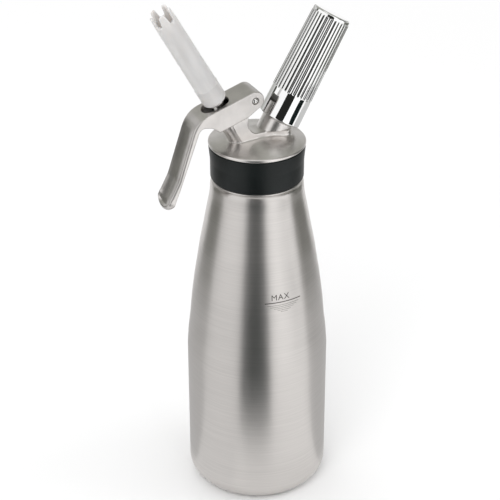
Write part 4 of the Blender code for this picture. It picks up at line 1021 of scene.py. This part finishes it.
def card(name, places, level, height=0):
    """A surface that only shines in what metal mirrors, from (azimuth, distance) places on the floor.

    It lies flat between its places, or it is a wall that rises from them.
    """
    piece = draw(name, [around(*place) for place in places], height == 0)
    if height:
        bpy.ops.mesh.extrude_region_move(TRANSFORM_OT_translate={"value": (0, 0, height)})
    else:
        bpy.ops.mesh.edge_face_add()
    bpy.ops.object.mode_set(mode="OBJECT")
    tint = BLACK_TINT if level < 0.1 else DIM_TINT if level < 0.5 else (1, 1, 1)
    paint = Finish(name, (0, 0, 0), 1.0, 0.0, Specular_IOR_Level=0.0, Emission_Color=(*tint, 1))
    paint.set("Emission Strength", level)
    piece.data.materials.append(paint.material)
    for ray in ("camera", "diffuse", "shadow", "transmission"):
        setattr(piece, f"visible_{ray}", False)


def around(azimuth, distance):
    """A place on the floor at an azimuth from the camera's side of the bottle."""
    angle = math.radians(FRONT + azimuth)
    return distance * math.cos(angle), distance * math.sin(angle), 0.4 * MM


def mirrored_light(tree, way):
    """Brightness that metal mirrors from each side; azimuth and rise are in degrees.

    Bright panels stand in front with a dark gap between them, the back is dim and the ceiling is bright.
    """
    split = add_node(tree, "ShaderNodeSeparateXYZ", None, way)
    ahead = (math.cos(math.radians(FRONT)), math.sin(math.radians(FRONT)))
    forward = split["X"] * ahead[0] + split["Y"] * ahead[1]
    aside = split["Y"] * ahead[0] - split["X"] * ahead[1]
    azimuth = forward.step("ARCTAN2", aside, forward) * math.degrees(1)
    rise = forward.step("ARCSINE", split["Z"]) * math.degrees(1)
    turned_away = forward.step("ABSOLUTE", azimuth)
    side = 0.05 + rise.between(22, 38) * 0.36
    back = 0.5 + rise.between(6, 12) * 0.2 - rise.between(20, 30) * 0.31
    dim = side + (back - side) * turned_away.between(110, 118)
    bright = 1.08 + azimuth.between(-20, 20) * 0.17
    under_top = rise.between(56, 46)
    panels = turned_away.between(61, 56) * under_top
    wing = turned_away.between(56, 61) * azimuth.between(-104, -98) * azimuth.between(-20, -30)
    panels = panels + wing * rise.between(11, 15) * under_top
    gap = azimuth.between(-23.5, -22) * azimuth.between(17.5, 16) * rise.between(40, 32)
    level = dim + (bright - dim) * panels
    level = level * (1 - gap) + gap * 0.02
    ceiling = rise.between(70, 80)
    return level * (1 - ceiling) + ceiling * 1.2


def build_floor():
    """Pale floor that keeps the part's shadow and fades to white further away."""
    paint = Finish("floor_paint", (0.92, 0.92, 0.92), 0.9)
    far = paint.add("ShaderNodeVectorMath", {"operation": "LENGTH"}, paint.place)["Value"].between(0.35, 1.3)
    ray = paint.add("ShaderNodeLightPath")
    seen = (ray["Is Camera Ray"] + ray["Is Glossy Ray"] + ray["Is Transmission Ray"]).between(0, 1)
    lit = Maths(paint.tree, paint.shader.outputs["BSDF"])
    white = paint.add("ShaderNodeEmission")["Emission"]
    faded = paint.add("ShaderNodeMixShader", None, far * seen, lit, white)["Shader"]
    paint.tree.links.new(faded.socket, paint.tree.nodes["Material Output"].inputs["Surface"])
    deselect()
    bpy.ops.mesh.primitive_plane_add(size=6, location=(0, 0, -0.2 * MM))
    floor = bpy.context.object
    floor.name = "floor"
    floor.data.materials.append(paint.material)


def build_cards():
    """What metal mirrors low down: black gaps, bright panels and floor in front, dim walls at the sides."""
    card("front_gap", [(-25, 0.145), (19.5, 0.145), (19.5, 2.5), (-25, 2.5)], 0.022)
    inner = [(44.5, 0.76), (51, 0.66), (58, 0.57), (65, 0.50), (71, 0.44)]
    outer = [(73, 0.56), (66, 0.63), (59, 0.72), (52, 0.82), (44.5, 0.93)]
    card("right_gap", inner + outer, 0.015)
    card("right_floor", [(27, 0.42), (44, 0.41), (60, 0.4), *inner[2::-1], (27, 0.7)], 1.35)
    card("left_panel", [(azimuth, 0.95) for azimuth in (-22, -36, -49, -62, -74)], 1.05, 0.45)
    card("right_panel", [(azimuth, 0.95) for azimuth in (17, 33, 49, 65, 82)], 1.25, 0.45)
    foot = 0.058
    turns = (-26, -45, -64, -82)
    ring = [(azimuth, foot) for azimuth in turns] + [(azimuth, 0.9) for azimuth in reversed(turns)]
    card("left_floor", ring, 0.86)
    for side, name, last in ((-1, "left", 127), (1, "right", 134)):
        turns = [side * azimuth for azimuth in (84, 96, 108, 118, last)]
        card(f"{name}_wall", [(azimuth, 0.46) for azimuth in turns], 0.18, 0.235)
        turns.append(side * 150)
        ring = [(azimuth, 0.45) for azimuth in turns] + [(azimuth, foot) for azimuth in reversed(turns)]
        card(f"{name}_shade", ring, 0.62)


def build_sky():
    """White for the camera, plain light for matt surfaces and the studio for metal."""
    world = bpy.data.worlds.new("studio")
    bpy.context.scene.world = world
    world.use_nodes = True
    tree = world.node_tree
    ray = add_node(tree, "ShaderNodeLightPath")
    glossy = mirrored_light(tree, add_node(tree, "ShaderNodeTexCoord")["Generated"])
    shown = (ray["Is Camera Ray"] + ray["Is Transmission Ray"]).between(0, 1)
    mirrored = ray["Is Glossy Ray"] * (1 - shown)
    level = shown + mirrored * glossy + (1 - shown - mirrored) * 0.85
    tint = mix_colours(tree, mirrored * glossy.between(0.65, 0.3), (1, 1, 1), DIM_TINT)
    background = tree.nodes["Background"]
    tree.links.new(tint.socket, background.inputs["Color"])
    tree.links.new(level.socket, background.inputs["Strength"])


def build_lamps():
    """Three large soft lamps, aimed at the part's middle."""
    lamps = (((-0.9, -0.9, 1.3), 0.9, 9.0), ((1.1, -0.5, 0.9), 0.8, 3.0), ((0.1, 1.1, 1.2), 0.9, 3.0))
    for index, (place, size, power) in enumerate(lamps):
        light = bpy.data.lights.new(f"lamp_{index + 1}", "AREA")
        light.size = size
        light.energy = power
        lamp = bpy.data.objects.new(f"lamp_{index + 1}", light)
        lamp.location = place
        aim = Vector((0, 0, 0.18)) - Vector(place)
        lamp.rotation_euler = aim.to_track_quat("-Z", "Y").to_euler()
        lamp.visible_glossy = False
        bpy.context.scene.collection.objects.link(lamp)


def build_camera():
    """The photo's view: a long lens from the front left, looking down."""
    turn_to = math.radians(26)
    drop = math.radians(29.3)
    look = Vector((math.sin(turn_to) * math.cos(drop), math.cos(turn_to) * math.cos(drop), -math.sin(drop)))
    lens = bpy.data.cameras.new("camera")
    lens.lens = 115.2
    lens.sensor_width = 36
    lens.shift_x = -0.014
    camera = bpy.data.objects.new("camera", lens)
    camera.location = (-0.4067, -0.8338, 0.6941)
    camera.rotation_euler = look.to_track_quat("-Z", "Y").to_euler()
    bpy.context.scene.collection.objects.link(camera)
    bpy.context.scene.camera = camera
    bpy.context.scene.view_settings.view_transform = "Standard"


build_bottle()
build_fill_mark()
build_gasket()
build_head()
build_band()
build_lever()
build_pivot_pin()
build_valve()
build_spring()
build_tip()
build_holder()
build_charger()
build_piercing_parts()
build_floor()
build_cards()
build_sky()
build_lamps()
build_camera()
